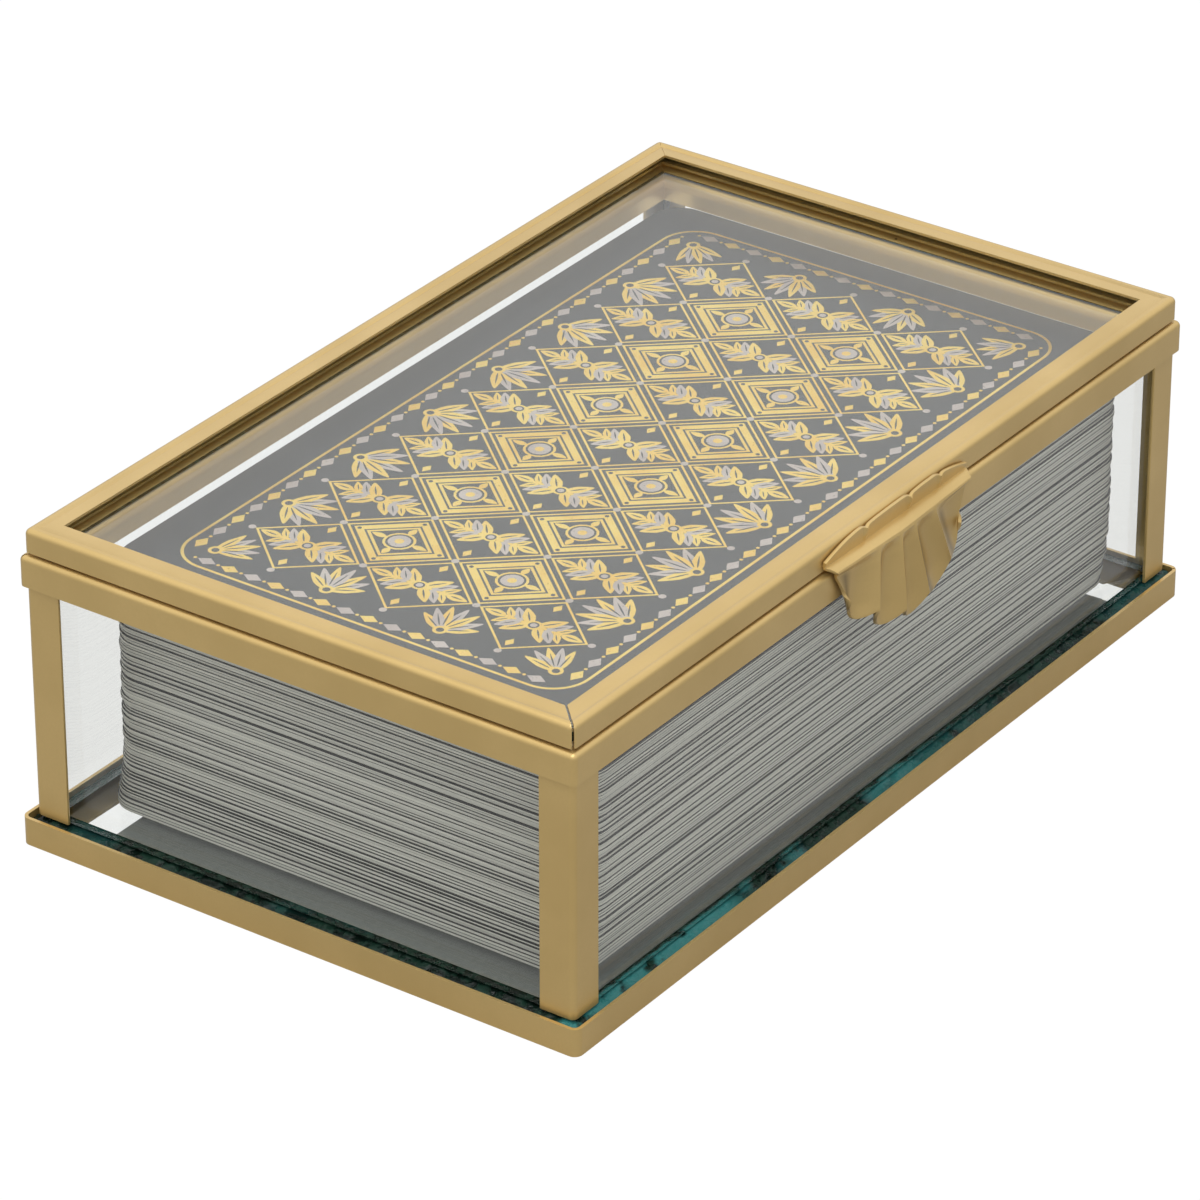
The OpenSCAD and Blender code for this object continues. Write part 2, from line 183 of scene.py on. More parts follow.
class Effects:
    """Shader node groups that several finishes share."""

    WIDTH_DRAW = 37.3
    WIDTH_POWER = 2.0
    GAP_START = (0.83, 0.40)
    GAP_BLUR = 0.03
    STREAK_SCALE = (70.0, 70.0, 5200.0)
    STREAK_DETAIL = 4.0

    @staticmethod
    def _start(name: str, inputs: dict[str, object], outputs: Iterable[str]) -> Nodes:
        """Starts a node group.

        Args:
            name: name of the group.
            inputs: default by input name; None makes a vector input.
            outputs: names of the value outputs.

        Returns:
            The node kit of the group's tree, with its input and output nodes.
        """
        tree = bpy.data.node_groups.new(name, "ShaderNodeTree")
        for label, default in inputs.items():
            kind = "NodeSocketVector" if default is None else "NodeSocketFloat"
            socket = tree.interface.new_socket(label, in_out="INPUT", socket_type=kind)
            if default is not None:
                socket.default_value = default
        for label in outputs:
            tree.interface.new_socket(label, in_out="OUTPUT", socket_type="NodeSocketFloat")
        tree.nodes.new("NodeGroupInput")
        tree.nodes.new("NodeGroupOutput")
        return Nodes(tree)

    @classmethod
    def patches(cls) -> bpy.types.NodeTree:
        """Soft patches: noise that is stretched to a mask between two levels."""
        name = "soft_patches"
        if name in bpy.data.node_groups:
            return bpy.data.node_groups[name]
        defaults = {"Vector": None, "Scale": 100.0, "Detail": 3.0, "Low": 0.35, "High": 0.65}
        kit = cls._start(name, defaults, ["Mask"])
        given = kit.tree.nodes["Group Input"].outputs
        inputs = {"Vector": given["Vector"], "Scale": given["Scale"], "Detail": given["Detail"]}
        cloud = kit.add("TexNoise", inputs).outputs[0]
        mask = kit.ramp(cloud, given["Low"], given["High"], 0.0, 1.0)
        kit.link(mask, kit.tree.nodes["Group Output"].inputs["Mask"])
        return kit.tree

    @classmethod
    def specks(cls) -> bpy.types.NodeTree:
        """Sparse specks: a share of the cells holds one small dot each."""
        name = "sparse_specks"
        if name in bpy.data.node_groups:
            return bpy.data.node_groups[name]
        kit = cls._start(name, {"Vector": None, "Scale": 300.0, "Radius": 0.12, "Share": 0.2}, ["Mask"])
        given = kit.tree.nodes["Group Input"].outputs
        cells = kit.add("TexVoronoi", {"Vector": given["Vector"], "Scale": given["Scale"]})
        chance = kit.add("SeparateColor", {0: cells.outputs["Color"]}).outputs[0]
        chosen = kit.math("LESS_THAN", chance, given["Share"])
        dot = kit.math("LESS_THAN", cells.outputs["Distance"], given["Radius"])
        kit.link(kit.math("MULTIPLY", chosen, dot), kit.tree.nodes["Group Output"].inputs["Mask"])
        return kit.tree

    @classmethod
    def sheets(cls) -> bpy.types.NodeTree:
        """Stack of sheets along Z: a tone for each sheet, a mask of the gap between sheets where painted
        shade goes, and streaks that run along them.
        """
        name = "stacked_sheets"
        if name in bpy.data.node_groups:
            return bpy.data.node_groups[name]
        kit = cls._start(name, {"Vector": None, "Foot": 0.0, "Pitch": 0.42 * MM}, ["Tone", "Gap", "Streak"])
        given = kit.tree.nodes["Group Input"].outputs
        height = kit.add("SeparateXYZ", {0: given["Vector"]}).outputs["Z"]
        level = kit.math("DIVIDE", kit.math("SUBTRACT", height, given["Foot"]), given["Pitch"])
        sheet = kit.math("FLOOR", level)
        tone = kit.add("TexWhiteNoise", {"W": sheet}, noise_dimensions="1D").outputs["Value"]
        shifted = kit.math("ADD", sheet, cls.WIDTH_DRAW)
        width = kit.add("TexWhiteNoise", {"W": shifted}, noise_dimensions="1D").outputs["Value"]
        edge = kit.ramp(kit.math("POWER", width, cls.WIDTH_POWER), 0.0, 1.0, *cls.GAP_START)
        past = kit.math("SUBTRACT", kit.math("FRACT", level), edge)
        gap = kit.ramp(past, -cls.GAP_BLUR, cls.GAP_BLUR, 0.0, 1.0)
        along = kit.add("Mapping", {"Vector": given["Vector"], "Scale": cls.STREAK_SCALE}).outputs[0]
        grain = {"Vector": along, "Scale": 1.0, "Detail": cls.STREAK_DETAIL}
        streak = kit.add("TexNoise", grain).outputs[0]
        for label, socket in (("Tone", tone), ("Gap", gap), ("Streak", streak)):
            kit.link(socket, kit.tree.nodes["Group Output"].inputs[label])
        return kit.tree


@dataclass(frozen=True)
class Patches:
    """Sizes of a mask of soft patches: how fine they are per metre, the mask's two levels, and octaves."""

    scale: float
    low: float = 0.35
    high: float = 0.65
    detail: float = 3.0

    def mask(self, kit: Nodes, place: bpy.types.NodeSocket) -> bpy.types.NodeSocket:
        """Returns the mask in a material's node tree."""
        values = {"Scale": self.scale, "Detail": self.detail, "Low": self.low, "High": self.high}
        return kit.effect(Effects.patches(), Vector=place, **values).outputs[0]


@dataclass(frozen=True)
class Specks:
    """Sizes of a mask of sparse dots: cells per metre, the dots' radius and the share of cells with a dot."""

    scale: float
    radius: float
    share: float

    def mask(self, kit: Nodes, place: bpy.types.NodeSocket) -> bpy.types.NodeSocket:
        """Returns the mask in a material's node tree."""
        values = {"Scale": self.scale, "Radius": self.radius, "Share": self.share}
        return kit.effect(Effects.specks(), Vector=place, **values).outputs[0]


class Finish:
    """Start of every finish: a material with one Principled shader on Object coordinates."""

    name: str = "finish"

    def start(self) -> tuple[bpy.types.Material, Nodes, bpy.types.Node, bpy.types.NodeSocket]:
        """Makes the material.

        Returns:
            The material, its node kit, its shader and the Object coordinates.
        """
        material = bpy.data.materials.new(self.name)
        material.use_nodes = True
        kit = Nodes(material.node_tree)
        shader = material.node_tree.nodes["Principled BSDF"]
        return material, kit, shader, kit.add("TexCoord").outputs["Object"]

    @staticmethod
    def relief(
        kit: Nodes, shader: bpy.types.Node, height: bpy.types.NodeSocket, strength: float, depth: float
    ) -> None:
        """Feeds a height into the shader's normal.

        Args:
            kit: node kit of the material.
            shader: the shader that takes the normal.
            height: the height as a value.
            strength: strength of the bump.
            depth: depth of the relief in metres.
        """
        bump = kit.add("Bump", {"Strength": strength, "Distance": depth, "Height": height})
        kit.link(bump.outputs["Normal"], shader.inputs["Normal"])

    @staticmethod
    def blend(kit: Nodes, share: bpy.types.NodeSocket, shader: bpy.types.Node, other: bpy.types.Node) -> None:
        """Shows another shader by a share and the material's own shader by the rest.

        Args:
            kit: node kit of the material.
            share: share of the other shader.
            shader: the material's own shader.
            other: the other shader.
        """
        both = kit.add("MixShader", {0: share, 1: shader.outputs[0], 2: other.outputs[0]})
        kit.link(both.outputs[0], kit.tree.nodes["Material Output"].inputs["Surface"])


@dataclass(frozen=True)
class BrassFinish(Finish):
    """Satin gold lacquer on bent strip."""

    name: str = "satin_brass"
    tone: Color = (0.72, 0.505, 0.19)
    shade: Color = (0.64, 0.445, 0.16)
    # Colour of the real dark specks, and of the painted shade beside the shell's creases.
    stain_and_shade: Color = (0.15, 0.095, 0.03)
    metallic: float = 0.6
    roughness: Point = (0.34, 0.44)
    lacquer: float = 0.5
    lacquer_roughness: float = 0.3
    cloud: Patches = Patches(70.0, 0.35, 0.68)
    grain: Patches = Patches(2600.0, 0.25, 0.75)
    grain_share: float = 0.3
    crease_shade_share: float = 0.75
    specks: Specks = Specks(170.0, 0.035, 0.12)
    bump: Point = (0.2, 0.02 * MM)

    def material(self) -> bpy.types.Material:
        """Makes the material."""
        material, kit, shader, place = self.start()
        cloud = self.cloud.mask(kit, place)
        grain = self.grain.mask(kit, place)
        base = kit.mix(cloud, self.tone, self.shade)
        base = kit.mix(kit.math("MULTIPLY", grain, self.grain_share), base, self.shade)
        # Painted shade: the vertex attribute darkens the brass towards the stain colour beside the shell's
        # creases.
        crease = kit.add("Attribute", attribute_name=CREASE).outputs["Fac"]
        base = kit.mix(kit.math("MULTIPLY", crease, self.crease_shade_share), base, self.stain_and_shade)
        kit.link(kit.mix(self.specks.mask(kit, place), base, self.stain_and_shade), shader.inputs["Base Color"])
        kit.link(kit.ramp(cloud, 0.0, 1.0, *self.roughness), shader.inputs["Roughness"])
        shader.inputs["Metallic"].default_value = self.metallic
        shader.inputs["Coat Weight"].default_value = self.lacquer
        shader.inputs["Coat Roughness"].default_value = self.lacquer_roughness
        self.relief(kit, shader, grain, *self.bump)
        return material


@dataclass(frozen=True)
class GlassFinish(Finish):
    """Clear float glass that lets plain light through to what lies behind it."""

    name: str = "clear_glass"
    tint: Color = (0.975, 0.99, 0.983)
    index: float = 1.5
    smear: Patches = Patches(24.0, 0.5, 0.8, 5.0)
    smear_roughness: float = 0.025

    def material(self) -> bpy.types.Material:
        """Makes the material."""
        material, kit, shader, place = self.start()
        shader.inputs["Base Color"].default_value = (*self.tint, 1.0)
        shader.inputs["Transmission Weight"].default_value = 1.0
        shader.inputs["IOR"].default_value = self.index
        smear = self.smear.mask(kit, place)
        kit.link(kit.ramp(smear, 0.0, 1.0, 0.0, self.smear_roughness), shader.inputs["Roughness"])
        clear = kit.add("BsdfTransparent", {"Color": (*self.tint, 1.0)})
        self.blend(kit, kit.rays("Shadow", "Diffuse"), shader, clear)
        return material


@dataclass(frozen=True)
class CutEdgeFinish(Finish):
    """Broken edge of thick glass: near black green, with teal faces where a chip came away."""

    name: str = "cut_glass_edge"
    deep: Color = (0.004, 0.010, 0.007)
    green: Color = (0.012, 0.045, 0.028)
    teal: Color = (0.045, 0.24, 0.235)
    front: float = -38.0 * MM
    low: float = 8.0 * MM
    fade: Point = (-5.0 * MM, 30.0 * MM)
    faded: float = 0.1
    chips: Point = (0.16, 0.95)
    flakes: Patches = Patches(700.0, 0.42, 0.6, 4.0)
    flake_share: float = 0.7
    broad: Patches = Patches(46.0, 0.54, 0.6)
    fine: Patches = Patches(330.0, 0.36, 0.46, 4.0)
    area: Patches = Patches(60.0, 0.40, 0.5, 2.0)
    roughness: Point = (0.12, 0.4)
    gloss: float = 0.2
    bump: Point = (0.6, 0.15 * MM)

    def material(self) -> bpy.types.Material:
        """Makes the material."""
        material, kit, shader, place = self.start()
        flakes = self.flakes.mask(kit, place)
        parts = kit.add("SeparateXYZ", {0: place}).outputs
        front = kit.ramp(parts["Y"], self.front - MM, self.front, 1.0, 0.0)
        front = kit.math("MULTIPLY", front, kit.math("LESS_THAN", parts["Z"], self.low))
        front = kit.math("MULTIPLY", front, kit.ramp(parts["X"], *self.fade, 1.0, self.faded))
        front_area = kit.math("MULTIPLY", front, self.area.mask(kit, place))
        patch = kit.math("MAXIMUM", self.broad.mask(kit, place), front_area)
        share = kit.ramp(front, 0.0, 1.0, *self.chips)
        chip = kit.math("MULTIPLY", kit.math("MULTIPLY", patch, self.fine.mask(kit, place)), share)
        base = kit.mix(kit.math("MULTIPLY", flakes, self.flake_share), self.deep, self.green)
        kit.link(kit.mix(chip, base, self.teal), shader.inputs["Base Color"])
        kit.link(kit.ramp(flakes, 0.0, 1.0, *self.roughness), shader.inputs["Roughness"])
        shader.inputs["Specular IOR Level"].default_value = self.gloss
        self.relief(kit, shader, flakes, *self.bump)
        return material


@dataclass(frozen=True)
class CardEdgeFinish(Finish):
    """Cut edges of a stack of cards: grey layers of many tones with painted shade in the gaps between them.
    """

    foot: float
    pitch: float
    name: str = "card_edges"
    dark: Color = (0.80, 0.795, 0.728)
    light: Color = (1.0, 0.99, 0.905)
    # Near black painted shade in the gaps between the cards.
    gap: Color = (0.006, 0.006, 0.0055)
    fleck: Color = (0.85, 0.85, 0.82)
    flecks: Specks = Specks(420.0, 0.1, 0.035)
    streak_levels: Point = (0.3, 0.7)
    streak_reach: float = 0.22
    roughness: Point = (0.6, 0.42)
    bump: Point = (0.2, 0.03 * MM)

    def material(self) -> bpy.types.Material:
        """Makes the material."""
        material, kit, shader, place = self.start()
        stack = kit.effect(Effects.sheets(), Vector=place, Foot=self.foot, Pitch=self.pitch).outputs
        streak = kit.ramp(stack["Streak"], *self.streak_levels, -self.streak_reach, self.streak_reach)
        tone = kit.ramp(kit.math("ADD", stack["Tone"], streak), 0.0, 1.0, 0.0, 1.0)
        base = kit.mix(tone, self.dark, self.light)
        base = kit.mix(self.flecks.mask(kit, place), base, self.fleck)
        # Paints the shade into the gaps between the cards.
        kit.link(kit.mix(stack["Gap"], base, self.gap), shader.inputs["Base Color"])
        kit.link(kit.ramp(tone, 0.0, 1.0, *self.roughness), shader.inputs["Roughness"])
        self.relief(kit, shader, stack["Streak"], *self.bump)
        return material


@dataclass(frozen=True)
class CardBackFinish(Finish):
    """Silk coated black card."""

    name: str = "card_back_black"
    tone: Color = (0.016, 0.017, 0.017)
    bloom: Color = (0.026, 0.027, 0.027)
    cloud: Patches = Patches(90.0, 0.3, 0.7)
    fibre: Patches = Patches(3000.0, 0.3, 0.7)
    roughness: Point = (0.42, 0.5)
    bump: Point = (0.1, 0.01 * MM)

    def material(self) -> bpy.types.Material:
        """Makes the material."""
        material, kit, shader, place = self.start()
        cloud = self.cloud.mask(kit, place)
        kit.link(kit.mix(cloud, self.tone, self.bloom), shader.inputs["Base Color"])
        kit.link(kit.ramp(cloud, 0.0, 1.0, *self.roughness), shader.inputs["Roughness"])
        self.relief(kit, shader, self.fibre.mask(kit, place), *self.bump)
        return material


@dataclass(frozen=True)
class FoilFinish(Finish):
    """Hot stamped foil that keeps the card's fine texture."""

    tone: Color
    shade: Color
    name: str = "gold_foil"
    metallic: float = 0.88
    roughness: Point = (0.27, 0.40)
    cloud: Patches = Patches(140.0, 0.38, 0.66)
    fibre: Patches = Patches(2800.0, 0.3, 0.7)
    bump: Point = (0.12, 0.01 * MM)

    def material(self) -> bpy.types.Material:
        """Makes the material."""
        material, kit, shader, place = self.start()
        fibre = self.fibre.mask(kit, place)
        kit.link(kit.mix(self.cloud.mask(kit, place), self.tone, self.shade), shader.inputs["Base Color"])
        kit.link(kit.ramp(fibre, 0.0, 1.0, *self.roughness), shader.inputs["Roughness"])
        shader.inputs["Metallic"].default_value = self.metallic
        self.relief(kit, shader, fibre, *self.bump)
        return material


@dataclass(frozen=True)
class LinerFinish(Finish):
    """Matt grey backing board."""

    name: str = "liner_board"
    tone: Color = (0.30, 0.307, 0.30)
    fibre_tone: Color = (0.34, 0.347, 0.34)
    fibre: Patches = Patches(1200.0, 0.35, 0.7, 5.0)
    roughness: float = 0.85
    bump: Point = (0.25, 0.04 * MM)

    def material(self) -> bpy.types.Material:
        """Makes the material."""
        material, kit, shader, place = self.start()
        fibre = self.fibre.mask(kit, place)
        kit.link(kit.mix(fibre, self.tone, self.fibre_tone), shader.inputs["Base Color"])
        shader.inputs["Roughness"].default_value = self.roughness
        self.relief(kit, shader, fibre, *self.bump)
        return material


@dataclass(frozen=True)
class StageFinish(Finish):
    """White studio floor that still takes the object's shadow."""

    name: str = "studio_floor"
    paper: Color = (0.45, 0.45, 0.45)
    tooth_tone: Color = (0.4, 0.4, 0.4)
    tooth: Patches = Patches(40.0)
    tooth_share: float = 0.02
    roughness: float = 0.9
    glow_strength: float = 1.05
    glow_share: float = 0.94

    def material(self) -> bpy.types.Material:
        """Makes the material."""
        material, kit, shader, place = self.start()
        tooth = kit.math("MULTIPLY", self.tooth.mask(kit, place), self.tooth_share)
        kit.link(kit.mix(tooth, self.paper, self.tooth_tone), shader.inputs["Base Color"])
        shader.inputs["Roughness"].default_value = self.roughness
        glow = kit.add("Emission", {"Color": WHITE, "Strength": self.glow_strength})
        share = kit.math("MULTIPLY", kit.rays("Camera", "Transmission"), self.glow_share)
        self.blend(kit, share, shader, glow)
        return material


class Bench:
    """Modelling steps on one object, as by hand in edit mode."""

    SHARP = math.radians(50)
    BLUNT = math.radians(40)
    FLAT_WEIGHT = 100

    @staticmethod
    def leave() -> None:
        """Leaves edit mode."""
        if bpy.context.mode != "OBJECT":
            bpy.ops.object.mode_set(mode="OBJECT")

    @classmethod
    def clear(cls) -> None:
        """Leaves edit mode and deselects everything."""
        cls.leave()
        bpy.ops.object.select_all(action="DESELECT")

    @classmethod
    def edit(cls, piece: bpy.types.Object) -> None:
        """Takes one object alone into edit mode with all of it selected."""
        cls.clear()
        bpy.context.view_layer.objects.active = piece
        piece.select_set(True)
        bpy.ops.object.mode_set(mode="EDIT")
        bpy.ops.mesh.select_all(action="SELECT")

    @staticmethod
    def name(label: str) -> bpy.types.Object:
        """Names the primitive that was just added and returns it."""
        piece = bpy.context.active_object
        piece.name = label
        piece.data.name = label
        return piece

    @classmethod
    def plate(
        cls, label: str, half: Point, height: float, corner: float = 0.0, steps: int = 1
    ) -> bpy.types.Object:
        """Models a flat rectangle.

        Args:
            label: name of the piece.
            half: half sizes along X and Y.
            height: place along Z.
            corner: radius of its corners, 0 for square ones.
            steps: segments of a round corner.

        Returns:
            The piece, in edit mode with all of it selected.
        """
        cls.clear()
        bpy.ops.mesh.primitive_plane_add(size=2.0)
        piece = cls.name(label)
        cls.edit(piece)
        bpy.ops.transform.resize(value=(half[0], half[1], 1.0), center_override=(0.0, 0.0, 0.0))
        bpy.ops.transform.translate(value=(0.0, 0.0, height))
        if corner:
            bpy.ops.mesh.bevel(offset=corner, segments=steps, affect="VERTICES")
            bpy.ops.mesh.select_all(action="SELECT")
        return piece

    @classmethod
    def block(cls, label: str, low: Vector, high: Vector) -> bpy.types.Object:
        """Models a block between two corners and returns it in edit mode, all selected."""
        cls.clear()
        bpy.ops.mesh.primitive_cube_add(size=1.0)
        piece = cls.name(label)
        cls.edit(piece)
        bpy.ops.transform.resize(value=tuple(high - low), center_override=(0.0, 0.0, 0.0))
        bpy.ops.transform.translate(value=tuple((high + low) / 2))
        return piece

    @staticmethod
    def pick(piece: bpy.types.Object, kind: str, test: Callable[[Element], bool]) -> None:
        """Selects what passes a test.

        Args:
            piece: object in edit mode.
            kind: EDGE or FACE.
            test: says whether an element is taken.
        """
        bpy.ops.mesh.select_mode(type=kind)
        bpy.ops.mesh.select_all(action="DESELECT")
        mesh = bmesh.from_edit_mesh(piece.data)
        items = mesh.edges if kind == "EDGE" else mesh.faces
        chosen = [item for item in items if test(item)]
        for item in chosen:
            item.select_set(True)
        bmesh.update_edit_mesh(piece.data)

    @staticmethod
    def pull(move: Sequence[float]) -> None:
        """Extrudes the selection by a move."""
        bpy.ops.mesh.extrude_region_move(TRANSFORM_OT_translate={"value": tuple(move)})

    @staticmethod
    def draw_in(half: Point, width: float, height: float) -> None:
        """Extrudes a selected rectangle of edges inwards by a width at a height."""
        bpy.ops.mesh.extrude_region_move(TRANSFORM_OT_translate={"value": (0.0, 0.0, 0.0)})
        scale = (1 - width / half[0], 1 - width / half[1], 1.0)
        bpy.ops.transform.resize(value=scale, center_override=(0.0, 0.0, height))

    @classmethod
    def face_out(cls) -> None:
        """Turns all faces of the piece outwards and leaves edit mode."""
        bpy.ops.mesh.select_all(action="SELECT")
        bpy.ops.mesh.normals_make_consistent(inside=False)
        cls.leave()

    @classmethod
    def finish(cls, piece: bpy.types.Object) -> bpy.types.Object:
        """Smooths the shading over blunt edges, keeps the large faces flat and returns the piece."""
        cls.leave()
        bpy.ops.object.shade_smooth_by_angle(angle=cls.BLUNT)
        cls.apply(piece, "WEIGHTED_NORMAL", weight=cls.FLAT_WEIGHT, keep_sharp=True)
        return piece

    @classmethod
    def thicken(cls, piece: bpy.types.Object, sheet: float, inner_slot: int = 0) -> None:
        """Gives a bent strip its thickness, inwards.

        Args:
            piece: the strip's outer face.
            sheet: thickness of the strip.
            inner_slot: material slot of its inner face.
        """
        settings = {"thickness": sheet, "offset": -1.0, "use_even_offset": True}
        cls.apply(piece, "SOLIDIFY", material_offset=inner_slot, **settings)

    @classmethod
    def soften(cls, piece: bpy.types.Object, width: float, segments: int = 2) -> None:
        """Rounds the sharp edges of a bent strip."""
        settings = {"width": width, "segments": segments}
        cls.apply(piece, "BEVEL", limit_method="ANGLE", angle_limit=cls.SHARP, **settings)

    @classmethod
    def apply(cls, piece: bpy.types.Object, kind: str, **settings: object) -> None:
        """Adds a modifier with its settings and applies it."""
        cls.leave()
        modifier = piece.modifiers.new(kind.lower(), kind)
        for key, value in settings.items():
            setattr(modifier, key, value)
        bpy.context.view_layer.objects.active = piece
        bpy.ops.object.modifier_apply(modifier=modifier.name)

    @classmethod
    def slit(
        cls, piece: bpy.types.Object, at: Vector, corner: Corner, width: float, reach: float, tall: float
    ) -> None:
        """Cuts an open joint on the diagonal of a corner.

        Args:
            piece: the bent strip.
            at: outer corner point, halfway up.
            corner: which corner of the box it is.
            width: width of the joint.
            reach: how far it runs in from the corner.
            tall: height of the cut.
        """
        size = Vector((reach, width / 2, tall / 2))
        tool = cls.block("slit_tool", -size, size)
        cls.leave()
        turn = math.atan2(corner.value[1], corner.value[0])
        tool.data.transform(Matrix.Translation(at) @ Matrix.Rotation(turn, 4, "Z"))
        cls.clear()
        piece.select_set(True)
        cls.apply(piece, "BOOLEAN", operation="DIFFERENCE", object=tool, solver="EXACT")
        bpy.data.objects.remove(tool)


class SubAssembly:
    """Start of every sub-assembly: hands pieces to the frame and reports them."""

    @staticmethod
    def hand_over(
        piece: bpy.types.Object, body: Body, slot: Slot, nodes: Sequence[str], *finishes: bpy.types.Material
    ) -> None:
        """Gives a piece its finishes and lets it stand for CAD nodes.

        Args:
            piece: the finished piece.
            body: body that it rides on.
            slot: material slot of the record; not used.
            nodes: CAD nodes that it stands for.
            finishes: materials in the order of the piece's material slots.
        """
        for finish in finishes:
            piece.data.materials.append(finish)
        if nodes:
            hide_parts(*nodes)
        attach(piece, body.value)
        LOG.info("%s rides on %s, %d faces", piece.name, body.value, len(piece.data.polygons))

    @staticmethod
    def keep(node: str, finish: bpy.types.Material) -> None:
        """Keeps a CAD node as it is and gives it a finish."""
        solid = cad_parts[node]
        solid.data.materials.clear()
        solid.data.materials.append(finish)
        LOG.info("%s keeps its solid", node)


def on_lines(points: Sequence[float], place: float) -> bool:
    """Says whether values lie together on one of two lines, at a place or at its mirror image."""
    return all(abs(abs(value) - place) < NEAR for value in points) and points[0] * points[1] > 0


def outline_edge(edge: bmesh.types.BMEdge, half: Point, height: float) -> bool:
    """Says whether an edge lies on a rectangle of these half sizes at a height."""
    a, b = (vert.co for vert in edge.verts)
    if abs(a.z - height) > NEAR or abs(b.z - height) > NEAR:
        return False
    return on_lines((a.x, b.x), half[0]) or on_lines((a.y, b.y), half[1])


def upright_edge(edge: bmesh.types.BMEdge, half: Point) -> bool:
    """Says whether an edge stands on a corner of a rectangle of these half sizes."""
    a, b = (vert.co for vert in edge.verts)
    return on_lines((a.x, b.x), half[0]) and on_lines((a.y, b.y), half[1])


def level_edge(edge: bmesh.types.BMEdge) -> bool:
    """Says whether an edge lies level."""
    return abs(edge.verts[0].co.z - edge.verts[1].co.z) < NEAR


def faces_along(face: bpy.types.MeshPolygon, axis: int) -> bool:
    """Says whether a face looks along an axis, 0 for X, 1 for Y and 2 for Z."""
    return abs(face.normal[axis]) > ALONG


@dataclass
class Lid(SubAssembly):
    """Lid: folded channel, glass and the moving hinge leaves."""

    flange: float = 3.5 * MM
    under: float = 2.0 * MM
    strip: float = 0.36 * MM
    crown: float = 0.75 * MM
    groove: tuple[Point, ...] = ((1.0 * MM, 0.0), (0.4 * MM, -0.2 * MM), (0.55 * MM, 0.17 * MM))
    seam: float = 0.28 * MM
    mitre: float = 0.05 * MM
    mitre_depth: float = 0.3 * MM
    joint_reach: float = 6.5 * MM
    bead: float = 0.1 * MM
    pane_corner: float = 0.5 * MM
    ground: float = 0.12 * MM

    def channel(self) -> bpy.types.Object:
        """Models the folded strip round the lid glass.

        Returns:
            The channel with its open joint and its closed mitres.
        """
        span = Span.of("lid_frame")
        half, top, tall = span.half, span.high.z, span.size.z
        piece = Bench.plate("lid_channel", half, top)
        for width, depth in self.groove:
            bpy.ops.mesh.inset(thickness=width, depth=depth)
        rest = self.flange - sum(width for width, _ in self.groove)
        bpy.ops.mesh.inset(thickness=rest, depth=0.0)
        bpy.ops.mesh.delete(type="FACE")
        Bench.pick(piece, "EDGE", lambda e: outline_edge(e, half, top))
        Bench.pull((0.0, 0.0, -tall))
        Bench.draw_in(half, self.under, span.low.z)
        Bench.pick(piece, "EDGE", lambda e: outline_edge(e, half, top) or upright_edge(e, half))
        bpy.ops.mesh.bevel(offset=self.crown, segments=5, affect="EDGES")
        Bench.thicken(piece, self.strip, inner_slot=1)
        at = Vector((-half[0], -half[1], top - tall / 2))
        Bench.slit(piece, at, Corner.FRONT_LEFT, self.seam, self.joint_reach, 2 * tall)
        at = Vector((half[0], half[1], top))
        Bench.slit(piece, at, Corner.REAR_RIGHT, self.mitre, self.joint_reach, self.mitre_depth)
        Bench.soften(piece, self.bead)
        return Bench.finish(piece)

    def glass(self) -> bpy.types.Object:
        """Models the lid's pane with its ground edges."""
        span = Span.of("lid_pane")
        piece = Bench.plate("lid_glass", span.half, span.low.z, self.pane_corner, steps=3)
        Bench.pull((0.0, 0.0, span.size.z))
        Bench.pick(piece, "EDGE", level_edge)
        bpy.ops.mesh.bevel(offset=self.ground, segments=2, affect="EDGES")
        Bench.face_out()
        for face in piece.data.polygons:
            face.material_index = 0 if faces_along(face, 2) else 1
        return piece

    def build(
        self,
        brass: bpy.types.Material,
        inside: bpy.types.Material,
        glass: bpy.types.Material,
        edge: bpy.types.Material,
    ) -> None:
        """Models the lid's pieces and hands them over.

        Args:
            brass: finish of the strip work.
            inside: near black finish of the channel's inner side, painted shade.
            glass: finish of the pane.
            edge: finish of the pane's cut edges.
        """
        self.hand_over(self.channel(), Body.LID, Slot.BRASS, ["lid_frame"], brass, inside)
        self.hand_over(self.glass(), Body.LID, Slot.GLASS, ["lid_pane"], glass, edge)
        for node in ("hinge_lid_leaf_left", "hinge_lid_leaf_right"):
            self.keep(node, brass)


